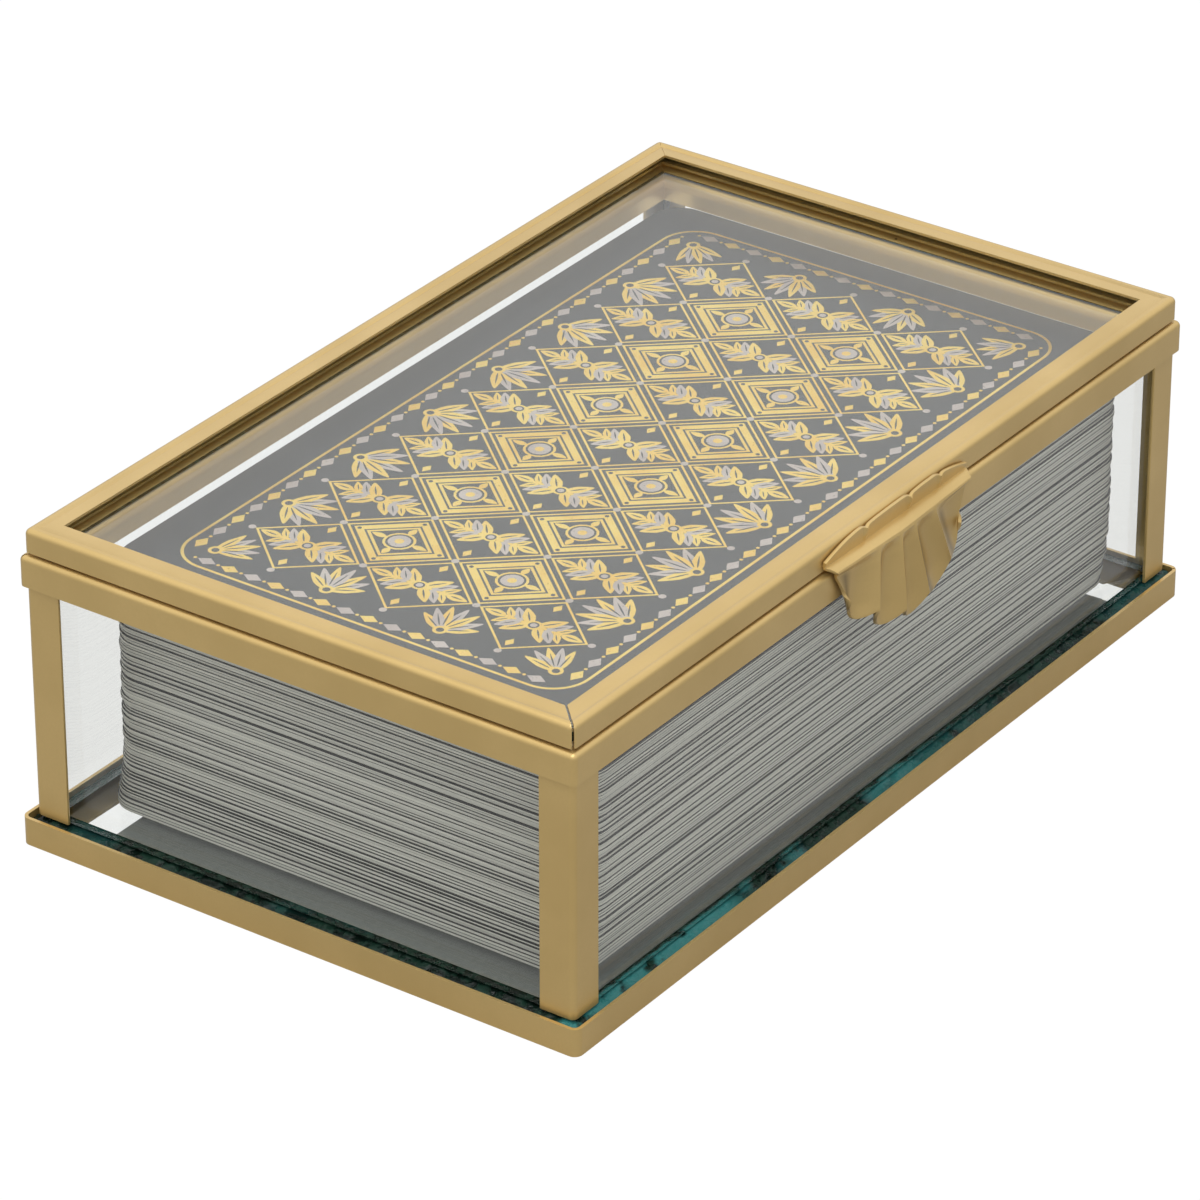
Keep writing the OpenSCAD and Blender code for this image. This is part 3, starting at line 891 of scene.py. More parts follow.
@dataclass
class ShellTab(SubAssembly):
    """Pressed scallop that lifts the lid: a lobed strip on the lid, a fold and a fluted fan."""

    # Fan and its flutes
    half_width: float = 14.8 * MM
    drop: float = 12.0 * MM
    ledge: float = 1.8 * MM
    ledge_bow: float = 0.26
    ledge_crown: float = 0.12 * MM
    flare: float = 1.7 * MM
    flare_bow: float = 0.5
    notch: float = 2.0 * MM
    end_notch: float = 0.3
    flute: float = 0.9 * MM
    growth: float = 0.7
    flute_rise: float = 0.2
    curl_length: float = 0.2
    curl_share: float = 0.2
    gather: float = 0.5
    # Painted shade beside the creases, and an even painted shade over the fan
    fan_painted_shade: float = 0.22
    crease_phase: float = 0.2
    crease_width: float = 0.24
    crease_start: float = 0.1
    crease_gain: float = 6.0
    # Sheet, grid and outline
    sheet: float = 0.42 * MM
    bead: float = 0.1 * MM
    smooth: float = math.radians(26)
    lobes: int = 5
    columns: int = 150
    rows: int = 40
    edge_x: tuple[float, ...] = (0.0, 0.206, 0.432, 0.642, 0.782, 0.849)
    edge_z: tuple[float, ...] = (1.0, 0.984, 0.886, 0.764, 0.627, 0.434)
    table_end: float = 0.99999
    # Strip on the lid and its ribs
    ribs: tuple[float, ...] = (-7.0 * MM, 2.7 * MM, 9.4 * MM)
    rib_height: float = 0.34 * MM
    rib_width: float = 0.3 * MM
    rib_taper: float = 0.6
    cleft_depth: float = 0.3 * MM
    cleft_width: float = 0.55 * MM
    slope_depth: float = 0.32 * MM
    slope_length: float = 2.4 * MM
    level_half: float = 8.0 * MM
    end_fall: float = 0.7
    end_power: float = 1.6
    strip_lean: float = 0.16 * MM
    strip_back: float = 0.45 * MM
    strip_rise: float = 0.7 * MM
    # Fold between strip and fan
    fan_back: float = 0.5 * MM
    fold_rise: float = 0.05 * MM
    strip_share: float = 0.22
    ledge_share: float = 0.14
    # Unevenness from the press
    dent_seed: int = 5
    dent_scale: float = 230.0
    dent_bias: float = 0.6
    dent_depth: float = 0.07 * MM
    dent_drop: float = 0.06 * MM

    @property
    def fan_start(self) -> float:
        """Share of the grid's length at which the fan starts."""
        return self.strip_share + self.ledge_share

    def course(self, table: Sequence[float], place: float) -> float:
        """Reads an evenly spaced table at a place from 0 to 1, with a smooth curve through its values."""
        spot = min(place, self.table_end) * (len(table) - 1)
        index = int(spot)
        share = spot - index
        a, b = table[index], table[index + 1]
        before = table[index - 1] if index else (b if table[0] > table[1] else -b)
        after = table[index + 2] if index + 2 < len(table) else 2 * b - a
        slope_a, slope_b = (b - before) / 2, (after - a) / 2
        rise = 3 * (b - a) - 2 * slope_a - slope_b
        bend = 2 * (a - b) + slope_a + slope_b
        return a + slope_a * share + rise * share ** 2 + bend * share ** 3

    def dip(self, across: float) -> float:
        """Returns the depth of the edge's notches across the fan, 0 in a lobe's middle and 1 in a notch."""
        wave = 1.0 - abs(math.cos(math.pi / 2 * self.lobes * across))
        return wave * (1.0 if abs(across) < 1.0 - 1.0 / self.lobes else self.end_notch)

    def strip_point(self, across: float, up: float, span: Span, fold_z: float) -> Vector:
        """Gives a point of the strip on the lid.

        Args:
            across: place along the strip, from -1 to 1.
            up: 0 at the fold and 1 at the strip's upper edge.
            span: box of the CAD solid.
            fold_z: height of the fold.

        Returns:
            The point on the strip's face.
        """
        x = across * span.half[0]
        top = span.high.z - fold_z
        end = max(0.0, abs(x) - self.level_half) / (span.half[0] - self.level_half)
        top *= 1.0 - self.end_fall * end ** self.end_power
        stand = self.strip_lean * up
        for rib in self.ribs:
            away = x - rib
            top -= self.cleft_depth * math.exp(-((away / self.cleft_width) ** 2))
            if away > 0:
                top -= self.slope_depth * math.exp(-away / self.slope_length) * (1.0 - end)
            stand += self.rib_height * math.exp(-((away / self.rib_width) ** 2)) * up ** self.rib_taper
        return Vector((x, span.high.y - self.strip_back - stand, fold_z + top * up))

    def fan_point(self, across: float, out: float, span: Span, fold_z: float) -> Vector:
        """Gives a point of the fan.

        Args:
            across: place across the fan, from -1 to 1.
            out: 0 on the fold and 1 on the scalloped edge.
            span: box of the CAD solid.
            fold_z: height of the fold.

        Returns:
            The point on the fan's face.
        """
        dip = self.dip(across)
        left = 1.0 - self.notch * dip / self.drop
        gathered = across * (self.gather + (1.0 - self.gather) * across ** 2)
        fold = Vector((
            self.half_width * gathered,
            span.high.y - self.fan_back - self.ledge * (1.0 - self.ledge_bow * across ** 2),
            fold_z,
        ))
        edge = Vector((
            math.copysign(self.course(self.edge_x, abs(across)), across) * self.half_width * left,
            fold.y - self.flare * (1.0 - self.flare_bow * across ** 2),
            fold_z - self.course(self.edge_z, abs(across)) * self.drop * left,
        ))
        point = fold.lerp(edge, out)
        rise = min(1.0, out / self.flute_rise)
        curl = max(0.0, 1.0 - (1.0 - out) / self.curl_length)
        scoop = (1.0 - dip) * rise * rise * (3.0 - 2.0 * rise)
        point.y += self.flute * scoop * (1.0 + self.growth * out) * (1.0 - self.curl_share * curl)
        return point

    def model(self) -> bpy.types.Object:
        """Models the shell from a grid that is drawn over its strip, fold and fan.

        Returns:
            The shell as a thin closed sheet.
        """
        span = Span.of("shell_tab")
        fold_z = Span.of("lid_frame").low.z + self.fold_rise
        Bench.clear()
        bpy.ops.mesh.primitive_grid_add(x_subdivisions=self.columns, y_subdivisions=self.rows, size=2.0)
        piece = Bench.name("shell_tab_pressed")
        Bench.edit(piece)
        mesh = bmesh.from_edit_mesh(piece.data)
        crease = mesh.verts.layers.float.new(CREASE)
        noise.seed_set(self.dent_seed)
        for vert in mesh.verts:
            across, down = vert.co.x, (1.0 - vert.co.y) / 2.0
            vert[crease] = self.painted_crease_shade(across, down)
            vert.co = self.draw(across, down, span, fold_z)
        rim = mesh.edges.layers.float.new("bevel_weight_edge")
        for edge in mesh.edges:
            edge[rim] = float(edge.is_boundary)
        bmesh.update_edit_mesh(piece.data)
        bpy.ops.mesh.normals_make_consistent(inside=False)
        mesh = bmesh.from_edit_mesh(piece.data)
        if sum(face.normal.y for face in mesh.faces) > 0:
            bpy.ops.mesh.flip_normals()
        Bench.apply(piece, "SOLIDIFY", thickness=self.sheet, offset=-1.0, use_even_offset=False)
        Bench.apply(piece, "BEVEL", width=self.bead, segments=2, limit_method="WEIGHT")
        bpy.ops.object.shade_smooth_by_angle(angle=self.smooth)
        return piece

    def painted_crease_shade(self, across: float, down: float) -> float:
        """Returns the painted shade at a grid point: the most just beside the ridges of the fan, and an even
        share over the rest of the fan.
        """
        out = (down - self.fan_start) / (1.0 - self.fan_start)
        phase = (self.lobes * across + 1.0) / 2.0 % 1.0
        crease = max(self.fan_painted_shade, 1.0 - abs(phase - self.crease_phase) / self.crease_width)
        return crease * max(0.0, min(1.0, self.crease_gain * (out - self.crease_start)))

    def draw(self, across: float, down: float, span: Span, fold_z: float) -> Vector:
        """Gives the place of a grid point.

        Args:
            across: place across the grid, from -1 to 1.
            down: 0 at the strip's upper edge and 1 at the fan's edge.
            span: box of the CAD solid.
            fold_z: height of the fold.

        Returns:
            The point, with a little unevenness from the press.
        """
        inner_z = fold_z + self.strip_rise
        if down < self.strip_share:
            point = self.strip_point(across, 1.0 - down / self.strip_share, span, inner_z)
        elif down < self.fan_start:
            share = (down - self.strip_share) / self.ledge_share
            start = self.strip_point(across, 0.0, span, inner_z)
            point = start.lerp(self.fan_point(across, 0.0, span, fold_z), share)
            point.z += self.ledge_crown * math.sin(math.pi * share)
        else:
            point = self.fan_point(across, (down - self.fan_start) / (1.0 - self.fan_start), span, fold_z)
        dent = noise.noise_vector(point * self.dent_scale)
        back = self.dent_depth * min(1.0, dent.y + self.dent_bias)
        return point + Vector((0.0, back, self.dent_drop * min(0.0, dent.z)))

    def build(self, brass: bpy.types.Material) -> None:
        """Models the shell and hands it over in its finish."""
        self.hand_over(self.model(), Body.LID, Slot.BRASS, ["shell_tab"], brass)


@dataclass(frozen=True)
class Chip:
    """How one ring of the floor's broken margin moves, in metres.

    Attributes:
        wander: how far it strays inwards or outwards.
        depth: how far it lies below the upper face.
        rough: how much that depth varies.
        least: its least depth.
    """

    wander: float = 0.0
    depth: float = 0.0
    rough: float = 0.0
    least: float = 0.0


@dataclass
class Casket(SubAssembly):
    """Base of the box: tray frame, liner, glass floor, posts, glass walls, rim and fixed hinge leaves."""

    strip: float = 0.45 * MM
    flange: float = 5.4 * MM
    tray_corner: float = 1.15 * MM
    tray_bead: float = 0.17 * MM
    tray_joint: float = 10.0 * MM
    rim_inner: float = 4.15 * MM
    rim_play: float = 0.1 * MM
    rim_joint: float = 8.0 * MM
    crown: float = 0.75 * MM
    roll: float = 2.4 * MM
    seam: float = 0.24 * MM
    bead: float = 0.12 * MM
    post_bend: float = 0.8 * MM
    post_bead: float = 0.14 * MM
    ground: float = 0.12 * MM
    liner_corner: float = 1.2 * MM
    floor_corner: float = 1.5 * MM
    floor_cuts: int = 149
    margin: tuple[float, ...] = (0.7 * MM, 0.7 * MM, 0.9 * MM)
    chips: tuple[Chip, ...] = (
        Chip(depth=0.75 * MM, rough=0.3 * MM, least=0.3 * MM),
        Chip(0.25 * MM, 0.45 * MM, 0.2 * MM, 0.05 * MM),
        Chip(0.25 * MM, 0.25 * MM, 0.2 * MM, 0.05 * MM),
        Chip(wander=0.35 * MM),
    )
    chip_scale: float = 420.0
    chip_octave: float = 2.7
    chip_octave_share: float = 0.5

    def tray(self) -> bpy.types.Object:
        """Models the bent tray frame: flange on the table, lip upright."""
        span = Span.of("base_frame")
        half = span.half
        piece = Bench.plate("base_tray", half, 0.0)
        bpy.ops.mesh.flip_normals()
        bpy.ops.mesh.inset(thickness=self.flange, depth=0.0)
        bpy.ops.mesh.delete(type="FACE")
        Bench.pick(piece, "EDGE", lambda e: outline_edge(e, half, 0.0))
        Bench.pull((0.0, 0.0, span.high.z))
        Bench.pick(piece, "EDGE", lambda e: upright_edge(e, half))
        bpy.ops.mesh.bevel(offset=self.tray_corner, segments=7, affect="EDGES")
        Bench.thicken(piece, self.strip, inner_slot=1)
        at = Vector((half[0], -half[1], span.high.z / 2))
        Bench.slit(piece, at, Corner.FRONT_RIGHT, self.seam, self.tray_joint, 3 * span.high.z)
        Bench.soften(piece, self.tray_bead, segments=3)
        return Bench.finish(piece)

    def rim(self) -> bpy.types.Object:
        """Models the channel that is folded over the walls' upper edges."""
        span = Span.of("base_rim")
        half, top, tall = span.half, span.high.z, span.size.z
        width = half[0] + Span.of("pane_left").high.x + self.strip + self.rim_play
        piece = Bench.plate("rim_channel", half, top)
        bpy.ops.mesh.inset(thickness=width, depth=0.0)
        bpy.ops.mesh.delete(type="FACE")
        inner = (half[0] - width, half[1] - width)
        Bench.pick(piece, "EDGE", lambda e: outline_edge(e, half, top))
        Bench.pull((0.0, 0.0, -tall))
        Bench.pick(piece, "EDGE", lambda e: outline_edge(e, inner, top))
        Bench.pull((0.0, 0.0, -self.rim_inner))
        Bench.pick(piece, "EDGE", lambda e: outline_edge(e, half, top) or upright_edge(e, half))
        bpy.ops.mesh.bevel(offset=self.crown, segments=5, affect="EDGES")
        Bench.pick(piece, "EDGE", lambda e: outline_edge(e, inner, top))
        bpy.ops.mesh.bevel(offset=self.roll, segments=6, affect="EDGES")
        Bench.thicken(piece, self.strip)
        at = Vector((-half[0], half[1], top - tall / 2))
        Bench.slit(piece, at, Corner.REAR_LEFT, self.seam, self.rim_joint, 2 * tall)
        Bench.soften(piece, self.bead)
        return Bench.finish(piece)

    def post(self, corner: Corner) -> bpy.types.Object:
        """Models the bent angle post of a corner.

        Args:
            corner: the corner that it stands in.

        Returns:
            The post.
        """
        node = "post_" + corner.name.lower()
        span = Span.of(node)
        sx, sy = corner.value
        piece = Bench.block(node + "_angle", span.low, span.high)
        Bench.pick(piece, "FACE", lambda f: f.normal.x * sx < ALONG and f.normal.y * sy < ALONG)
        bpy.ops.mesh.delete(type="FACE")
        outer = (span.high.x if sx > 0 else -span.low.x, span.high.y if sy > 0 else -span.low.y)
        Bench.pick(piece, "EDGE", lambda e: upright_edge(e, outer))
        bpy.ops.mesh.bevel(offset=self.post_bend, segments=5, affect="EDGES")
        Bench.thicken(piece, self.strip, inner_slot=1)
        Bench.soften(piece, self.post_bead)
        return Bench.finish(piece)

    def wall(self, node: str) -> bpy.types.Object:
        """Models a glass wall with ground edges, its cut faces in a slot of their own."""
        span = Span.of(node)
        piece = Bench.block(node.replace("pane", "wall_glass"), span.low, span.high)
        bpy.ops.mesh.bevel(offset=self.ground, segments=2, affect="EDGES")
        Bench.leave()
        axis = 0 if span.size.x < span.size.y else 1
        for face in piece.data.polygons:
            face.material_index = 0 if faces_along(face, axis) else 1
        return piece

    def floor(self) -> bpy.types.Object:
        """Models the glass floor with its chipped margin.

        Returns:
            The floor, its broken margin in the second material slot.
        """
        span = Span.of("floor_pane")
        half, top = span.half, span.high.z
        piece = Bench.plate("floor_glass", half, top, self.floor_corner, steps=5)
        bpy.ops.mesh.delete(type="ONLY_FACE")
        Bench.pick(piece, "EDGE", lambda e: e.calc_length() > self.floor_corner)
        bpy.ops.mesh.subdivide(number_cuts=self.floor_cuts)
        bpy.ops.mesh.select_all(action="SELECT")
        bpy.ops.mesh.edge_face_add()
        for width in self.margin:
            bpy.ops.mesh.inset(thickness=width, depth=0.0)
        mesh = bmesh.from_edit_mesh(piece.data)
        for vert in mesh.verts:
            self.chip(vert, half, top)
        bmesh.update_edit_mesh(piece.data)
        Bench.pick(piece, "EDGE", lambda e: e.is_boundary)
        Bench.pull((0.0, 0.0, -span.size.z))
        mesh = bmesh.from_edit_mesh(piece.data)
        for vert in mesh.verts:
            if vert.is_boundary:
                vert.co.z = span.low.z
        bmesh.update_edit_mesh(piece.data)
        Bench.pick(piece, "EDGE", lambda e: e.is_boundary)
        bpy.ops.mesh.edge_face_add()
        Bench.face_out()
        for face in piece.data.polygons:
            face.material_index = 0 if len(face.vertices) > self.floor_cuts else 1
        return piece

    def chip(self, vert: bmesh.types.BMVert, half: Point, top: float) -> None:
        """Moves a point of the floor's margin as if the edge were broken off.

        Args:
            vert: point of one of the margin's rings.
            half: half sizes of the floor.
            top: height of the floor's upper face.
        """
        inset_x, inset_y = half[0] - abs(vert.co.x), half[1] - abs(vert.co.y)
        chip = self.chips[round(min(inset_x, inset_y) / self.margin[0])]
        place = vert.co * self.chip_scale
        rough = noise.noise(place) + self.chip_octave_share * noise.noise(place * self.chip_octave)
        inward = Vector((-math.copysign(1.0, vert.co.x), 0.0, 0.0))
        if inset_y < inset_x:
            inward = Vector((0.0, -math.copysign(1.0, vert.co.y), 0.0))
        vert.co += inward * (chip.wander * rough)
        vert.co.z = top - max(chip.least, chip.depth + chip.rough * rough)

    def liner(self) -> bpy.types.Object:
        """Models the backing board under the floor."""
        span = Span.of("base_liner")
        piece = Bench.block("backing_board", span.low, span.high)
        Bench.pick(piece, "EDGE", lambda e: not level_edge(e))
        bpy.ops.mesh.bevel(offset=self.liner_corner, segments=3, affect="EDGES")
        return Bench.finish(piece)

    def build(
        self,
        brass: bpy.types.Material,
        inside: bpy.types.Material,
        walls: bpy.types.Material,
        floor: bpy.types.Material,
        edge: bpy.types.Material,
        board: bpy.types.Material,
    ) -> None:
        """Models the base's pieces and hands them over.

        Args:
            brass: finish of the strip work.
            inside: near black finish of the strips' inner side, painted shade.
            walls: finish of the wall panes.
            floor: finish of the floor pane.
            edge: finish of the panes' cut edges.
            board: finish of the backing board.
        """
        self.hand_over(self.tray(), Body.BASE, Slot.BRASS, ["base_frame"], brass, inside)
        self.hand_over(self.liner(), Body.BASE, Slot.LINER, ["base_liner"], board)
        self.hand_over(self.floor(), Body.BASE, Slot.GLASS, ["floor_pane"], floor, edge)
        for corner in Corner:
            node = "post_" + corner.name.lower()
            self.hand_over(self.post(corner), Body.BASE, Slot.BRASS, [node], brass, inside)
        for node in ("pane_front", "pane_rear", "pane_left", "pane_right"):
            self.hand_over(self.wall(node), Body.BASE, Slot.GLASS, [node], walls, edge)
        self.hand_over(self.rim(), Body.BASE, Slot.BRASS, ["base_rim"], brass)
        for side in ("left", "right"):
            self.keep("hinge_base_leaf_" + side, brass)
            self.keep("hinge_pin_" + side, brass)


@dataclass
class Deck(SubAssembly):
    """The cards: runs of separate cards, each a little out of line, and the card on top."""

    length: float = 120.0 * MM
    width: float = 70.0 * MM
    thick: float = 0.4 * MM
    pitch: float = 0.42 * MM
    corner: float = 4.0 * MM
    shift: Point = (2.702 * MM, 0.399 * MM)
    slip: float = 1.6 * MM
    slipped: int = 16
    scatter: float = 0.12 * MM
    scatter_x: Point = (137.5, 40.0)
    scatter_y: Point = (99.7, 10.0)
    turn: float = 0.12
    turn_step: float = 61.0
    wave: float = 0.05 * MM
    wave_scale: float = 14.0
    wave_step: float = 0.23
    cuts: int = 11
    runs: tuple[tuple[str, int, int], ...] = (
        ("coin_cards", 0, 14), ("sword_cards", 14, 14), ("cup_cards", 28, 14),
        ("wand_cards", 42, 14), ("trump_cards", 56, 21), ("top_card", 77, 1),
    )

    @property
    def foot(self) -> float:
        """Height of the lowest card's underside."""
        return Span.of("coin_cards").low.z

    @property
    def top(self) -> int:
        """Number of the card on top."""
        return self.runs[-1][1]

    def scattered(self, number: int, course: Point) -> float:
        """Returns how far a card lies out of line, from the step and the start of its course in degrees."""
        return self.scatter * math.sin(math.radians(course[0] * number ** 2 + course[1]))

    def place(self, number: int) -> Matrix:
        """Gives the place of a card.

        Args:
            number: the card's number, counted from the floor.

        Returns:
            Its matrix in the frame of the box.
        """
        slip = self.slip * max(0.0, 1.0 - number / self.slipped)
        move = Vector((
            self.shift[0] - slip + self.scattered(number, self.scatter_x),
            self.shift[1] + self.scattered(number, self.scatter_y),
            self.foot + number * self.pitch,
        ))
        angle = math.radians(self.turn * math.sin(math.radians(self.turn_step * number)))
        return Matrix.Translation(move) @ Matrix.Rotation(angle, 4, "Z")

    def card(self) -> bpy.types.Object:
        """Models one card with a divided outline, so that a run of cards can wave a little."""
        piece = Bench.plate("card_blank", (self.length / 2, self.width / 2), 0.0, self.corner, steps=7)
        bpy.ops.mesh.delete(type="ONLY_FACE")
        Bench.pick(piece, "EDGE", lambda e: e.calc_length() > self.corner)
        bpy.ops.mesh.subdivide(number_cuts=self.cuts)
        bpy.ops.mesh.select_all(action="SELECT")
        bpy.ops.mesh.edge_face_add()
        Bench.pull((0.0, 0.0, self.thick))
        Bench.face_out()
        for face in piece.data.polygons:
            face.material_index = 1 if faces_along(face, 2) else 0
        return piece

    def run(self, label: str, first: int, count: int, blank: bpy.types.Object) -> bpy.types.Object:
        """Copies the card into a run.

        Args:
            label: name of the CAD node that the run stands for.
            first: number of its lowest card.
            count: how many cards it has.
            blank: the card that is copied.

        Returns:
            The run as one piece.
        """
        mesh = bmesh.new()
        for number in range(first, first + count):
            old = len(mesh.verts)
            mesh.from_mesh(blank.data)
            mesh.verts.ensure_lookup_table()
            matrix = self.place(number)
            for vert in mesh.verts[old:]:
                vert.co = matrix @ vert.co
                if number < self.top:
                    here = Vector((*(vert.co.xy * self.wave_scale), number * self.wave_step))
                    vert.co.z += self.wave * noise.noise(here)
        piece = bpy.data.objects.new(label + "_run", bpy.data.meshes.new(label))
        bpy.context.collection.objects.link(piece)
        mesh.to_mesh(piece.data)
        mesh.free()
        return piece

    def build(self, edges: bpy.types.Material, back: bpy.types.Material) -> None:
        """Models every run and hands it over.

        Args:
            edges: finish of the cut edges.
            back: finish of the cards' faces.
        """
        blank = self.card()
        for label, first, count in self.runs:
            slot = Slot.CARD_BACK if label == "top_card" else Slot.CARD
            self.hand_over(self.run(label, first, count, blank), Body.DECK, slot, [label], edges, back)
        bpy.data.objects.remove(blank)


class Blanks:
    """Flat unit shapes of the foil ornament, each modelled once."""

    ROUND = 16
    LEAF_FOOT = 0.3
    LEAF_POINT = 0.25

    @staticmethod
    def disc(label: str, corners: int, shape: Callable[[float, float], Point]) -> bpy.types.Mesh:
        """Models a flat shape from a filled circle.

        Args:
            label: name of the shape.
            corners: points on its outline.
            shape: gives a point of the outline from the circle's own point.

        Returns:
            The mesh of the shape.
        """
        Bench.clear()
        bpy.ops.mesh.primitive_circle_add(vertices=corners, radius=1.0, fill_type="NGON")
        piece = Bench.name(label)
        for vert in piece.data.vertices:
            vert.co.x, vert.co.y = shape(vert.co.x, vert.co.y)
        mesh = piece.data
        bpy.data.objects.remove(piece)
        return mesh

    @classmethod
    def leaf_outline(cls, x: float, y: float) -> Point:
        """Gives a point of the leaf's outline, broader at its foot and narrow at both ends."""
        width = (1.0 - cls.LEAF_FOOT * x) * (1.0 - cls.LEAF_POINT * abs(x))
        return (1.0 + x) / 2.0, y / 2.0 * width

    @classmethod
    def leaf(cls) -> bpy.types.Mesh:
        """Models a pointed leaf of unit length and width, its foot at the origin."""
        return cls.disc("leaf_blank", cls.ROUND, cls.leaf_outline)

    @classmethod
    def lozenge(cls) -> bpy.types.Mesh:
        """Models a lozenge of unit half sizes."""
        return cls.disc("lozenge_blank", 4, lambda x, y: (x, y))

    @classmethod
    def dot(cls) -> bpy.types.Mesh:
        """Models a dot of unit radius."""
        return cls.disc("dot_blank", cls.ROUND, lambda x, y: (x, y))


# Foil and half sizes of one of several shapes that lie over each other.
Ring = tuple[Foil, float, float]
# Length, number of leaves and spread in degrees of a palmette.
Fan = tuple[float, int, float]


@dataclass
class Ornament(SubAssembly):
    """Foil on the top card: a border of small lozenges and a lattice of leaf sprigs and ringed stones.

    Sizes on the card's face are in millimetres.
    """

    # Place and layers, in metres
    seat: Matrix = field(default_factory=Matrix)
    step: float = 0.006 * MM
    thick: float = 0.012 * MM
    sublayers: int = 6
    sublayer: float = 1.0 / 8.0
    # Border
    border: Point = (55.6, 29.8)
    border_lines: tuple[Point, Point] = ((5.2, 0.42), (2.4, 0.3))
    band: float = 3.7
    chain_pitch: Point = (3.6, 3.5)
    chain_reach: tuple[int, int] = (14, 7)
    chain_link: Point = (1.35, 0.85)
    chain_dot: Point = (0.24, 0.24)
    # Cells of the lattice
    cell: Point = (14.57, 16.9)
    cell_line: tuple[Point, Point] = ((0.4, 0.5), (0.8, 0.98))
    cell_bead: Point = (0.5, 0.5)
    columns: int = 3
    rows: int = 1
    # Leaves and palmettes
    vein_start: float = 0.2
    vein: Point = (0.56, 0.15)
    fan_taper: float = 0.4
    fan_leaf: float = 0.25
    fan_beads: tuple[Ring, ...] = ((Foil.GOLD, 0.95, 0.95), (Foil.INK, 0.5, 0.5))
    long_fan: Fan = (6.6, 7, 60.0)
    short_fan: Fan = (5.9, 7, 60.0)
    corner_fan: Fan = (5.6, 5, 36.0)
    # Sprigs
    stem: Point = (6.4, 0.55)
    tip: Point = (3.0, 1.5)
    tip_rise: float = 4.1
    pairs: tuple[tuple[float, float, Foil], ...] = (
        (0.5, 3.9, Foil.GOLD), (1.9, 3.3, Foil.SILVER), (3.2, 2.6, Foil.GOLD),
    )
    pair_lean: float = 50.0
    pair_width: float = 0.42
    sprig_beads: tuple[Ring, ...] = ((Foil.GOLD, 1.05, 1.05), (Foil.INK, 0.7, 0.7), (Foil.SILVER, 0.45, 0.45))
    sprig_gem: Point = (0.95, 0.6)
    sprig_gem_place: float = 4.9
    # Ringed stones
    stone_frames: tuple[Ring, ...] = (
        (Foil.GOLD, 5.9, 6.85), (Foil.INK, 4.6, 5.35), (Foil.GOLD, 4.25, 4.95), (Foil.INK, 3.75, 4.35),
    )
    stone_beads: tuple[Ring, ...] = (
        (Foil.GOLD, 2.1, 2.1), (Foil.INK, 1.75, 1.75), (Foil.SILVER, 1.45, 1.45), (Foil.GOLD, 0.6, 0.6),
    )
    stud: Point = (0.28, 0.28)
    stud_place: Point = (5.2, 6.05)
    claw: Point = (1.6, 1.0)
    claw_growth: float = 0.5
    claw_place: float = 2.0
    # Foil so far and the shapes that it is stamped from
    sheet: bmesh.types.BMesh = field(default_factory=bmesh.new)
    pressed: set[tuple[float, ...]] = field(default_factory=set)
    leaf: bpy.types.Mesh | None = None
    lozenge: bpy.types.Mesh | None = None
    dot: bpy.types.Mesh | None = None

    def press(self, blank: bpy.types.Mesh, foil: Foil, level: int, place: Matrix) -> None:
        """Copies a shape into the foil, a hair above its neighbours, unless its twin is there.

        Args:
            blank: the shape.
            foil: foil that it is stamped in.
            level: which layer it lies in, counted from the card.
            place: its place on the card.
        """
        tip = place @ Vector((1.0, 0.0, 0.0))
        where = (round(value / MM, 3) for value in (*place.translation, *tip))
        key = (level, foil.value, *where, len(blank.vertices))
        if key in self.pressed:
            return
        self.pressed.add(key)
        old_verts, old_faces = len(self.sheet.verts), len(self.sheet.faces)
        self.sheet.from_mesh(blank)
        self.sheet.verts.ensure_lookup_table()
        self.sheet.faces.ensure_lookup_table()
        layer = level + 1 + len(self.pressed) % self.sublayers * self.sublayer
        lift = Matrix.Translation((0.0, 0.0, self.step * layer))
        for vert in self.sheet.verts[old_verts:]:
            vert.co = self.seat @ lift @ place @ vert.co
        for face in self.sheet.faces[old_faces:]:
            face.material_index = foil.value
            face.normal_update()
            if face.normal.z < 0:
                face.normal_flip()

    def stamp(
        self, blank: bpy.types.Mesh, foil: Foil, level: int, at: Point, size: Point, angle: float = 0.0
    ) -> None:
        """Stamps a unit shape.

        Args:
            blank: the shape.
            foil: foil that it is stamped in.
            level: which layer it lies in.
            at: place of its foot or middle, in millimetres.
            size: its size along and across, in millimetres.
            angle: direction that it points in, in degrees.
        """
        move = Matrix.Translation((at[0] * MM, at[1] * MM, 0.0))
        turn = Matrix.Rotation(math.radians(angle), 4, "Z")
        scale = Matrix.Diagonal((size[0] * MM, size[1] * MM, 1.0, 1.0))
        self.press(blank, foil, level, move @ turn @ scale)

    def rings(self, blank: bpy.types.Mesh, level: int, at: Point, sizes: Sequence[Ring]) -> None:
        """Stamps shapes of one kind over each other.

        Args:
            blank: the shape.
            level: layer of the first one.
            at: their middle, in millimetres.
            sizes: foil and half sizes of each, the largest first.
        """
        for number, (foil, along, across) in enumerate(sizes):
            self.stamp(blank, foil, level + number, at, (along, across))

    def veined_leaf(self, level: int, at: Point, size: Point, angle: float, foil: Foil = Foil.GOLD) -> None:
        """Stamps a leaf with a bare vein.

        Args:
            level: layer of the leaf.
            at: its foot, in millimetres.
            size: its length and width in millimetres.
            angle: direction that it points in, in degrees.
            foil: foil of the leaf.
        """
        self.stamp(self.leaf, foil, level, at, size, angle)
        turn = math.radians(angle)
        reach = self.vein_start * size[0]
        start = (at[0] + reach * math.cos(turn), at[1] + reach * math.sin(turn))
        vein = (self.vein[0] * size[0], self.vein[1] * size[1])
        self.stamp(self.leaf, Foil.INK, level + 1, start, vein, angle)

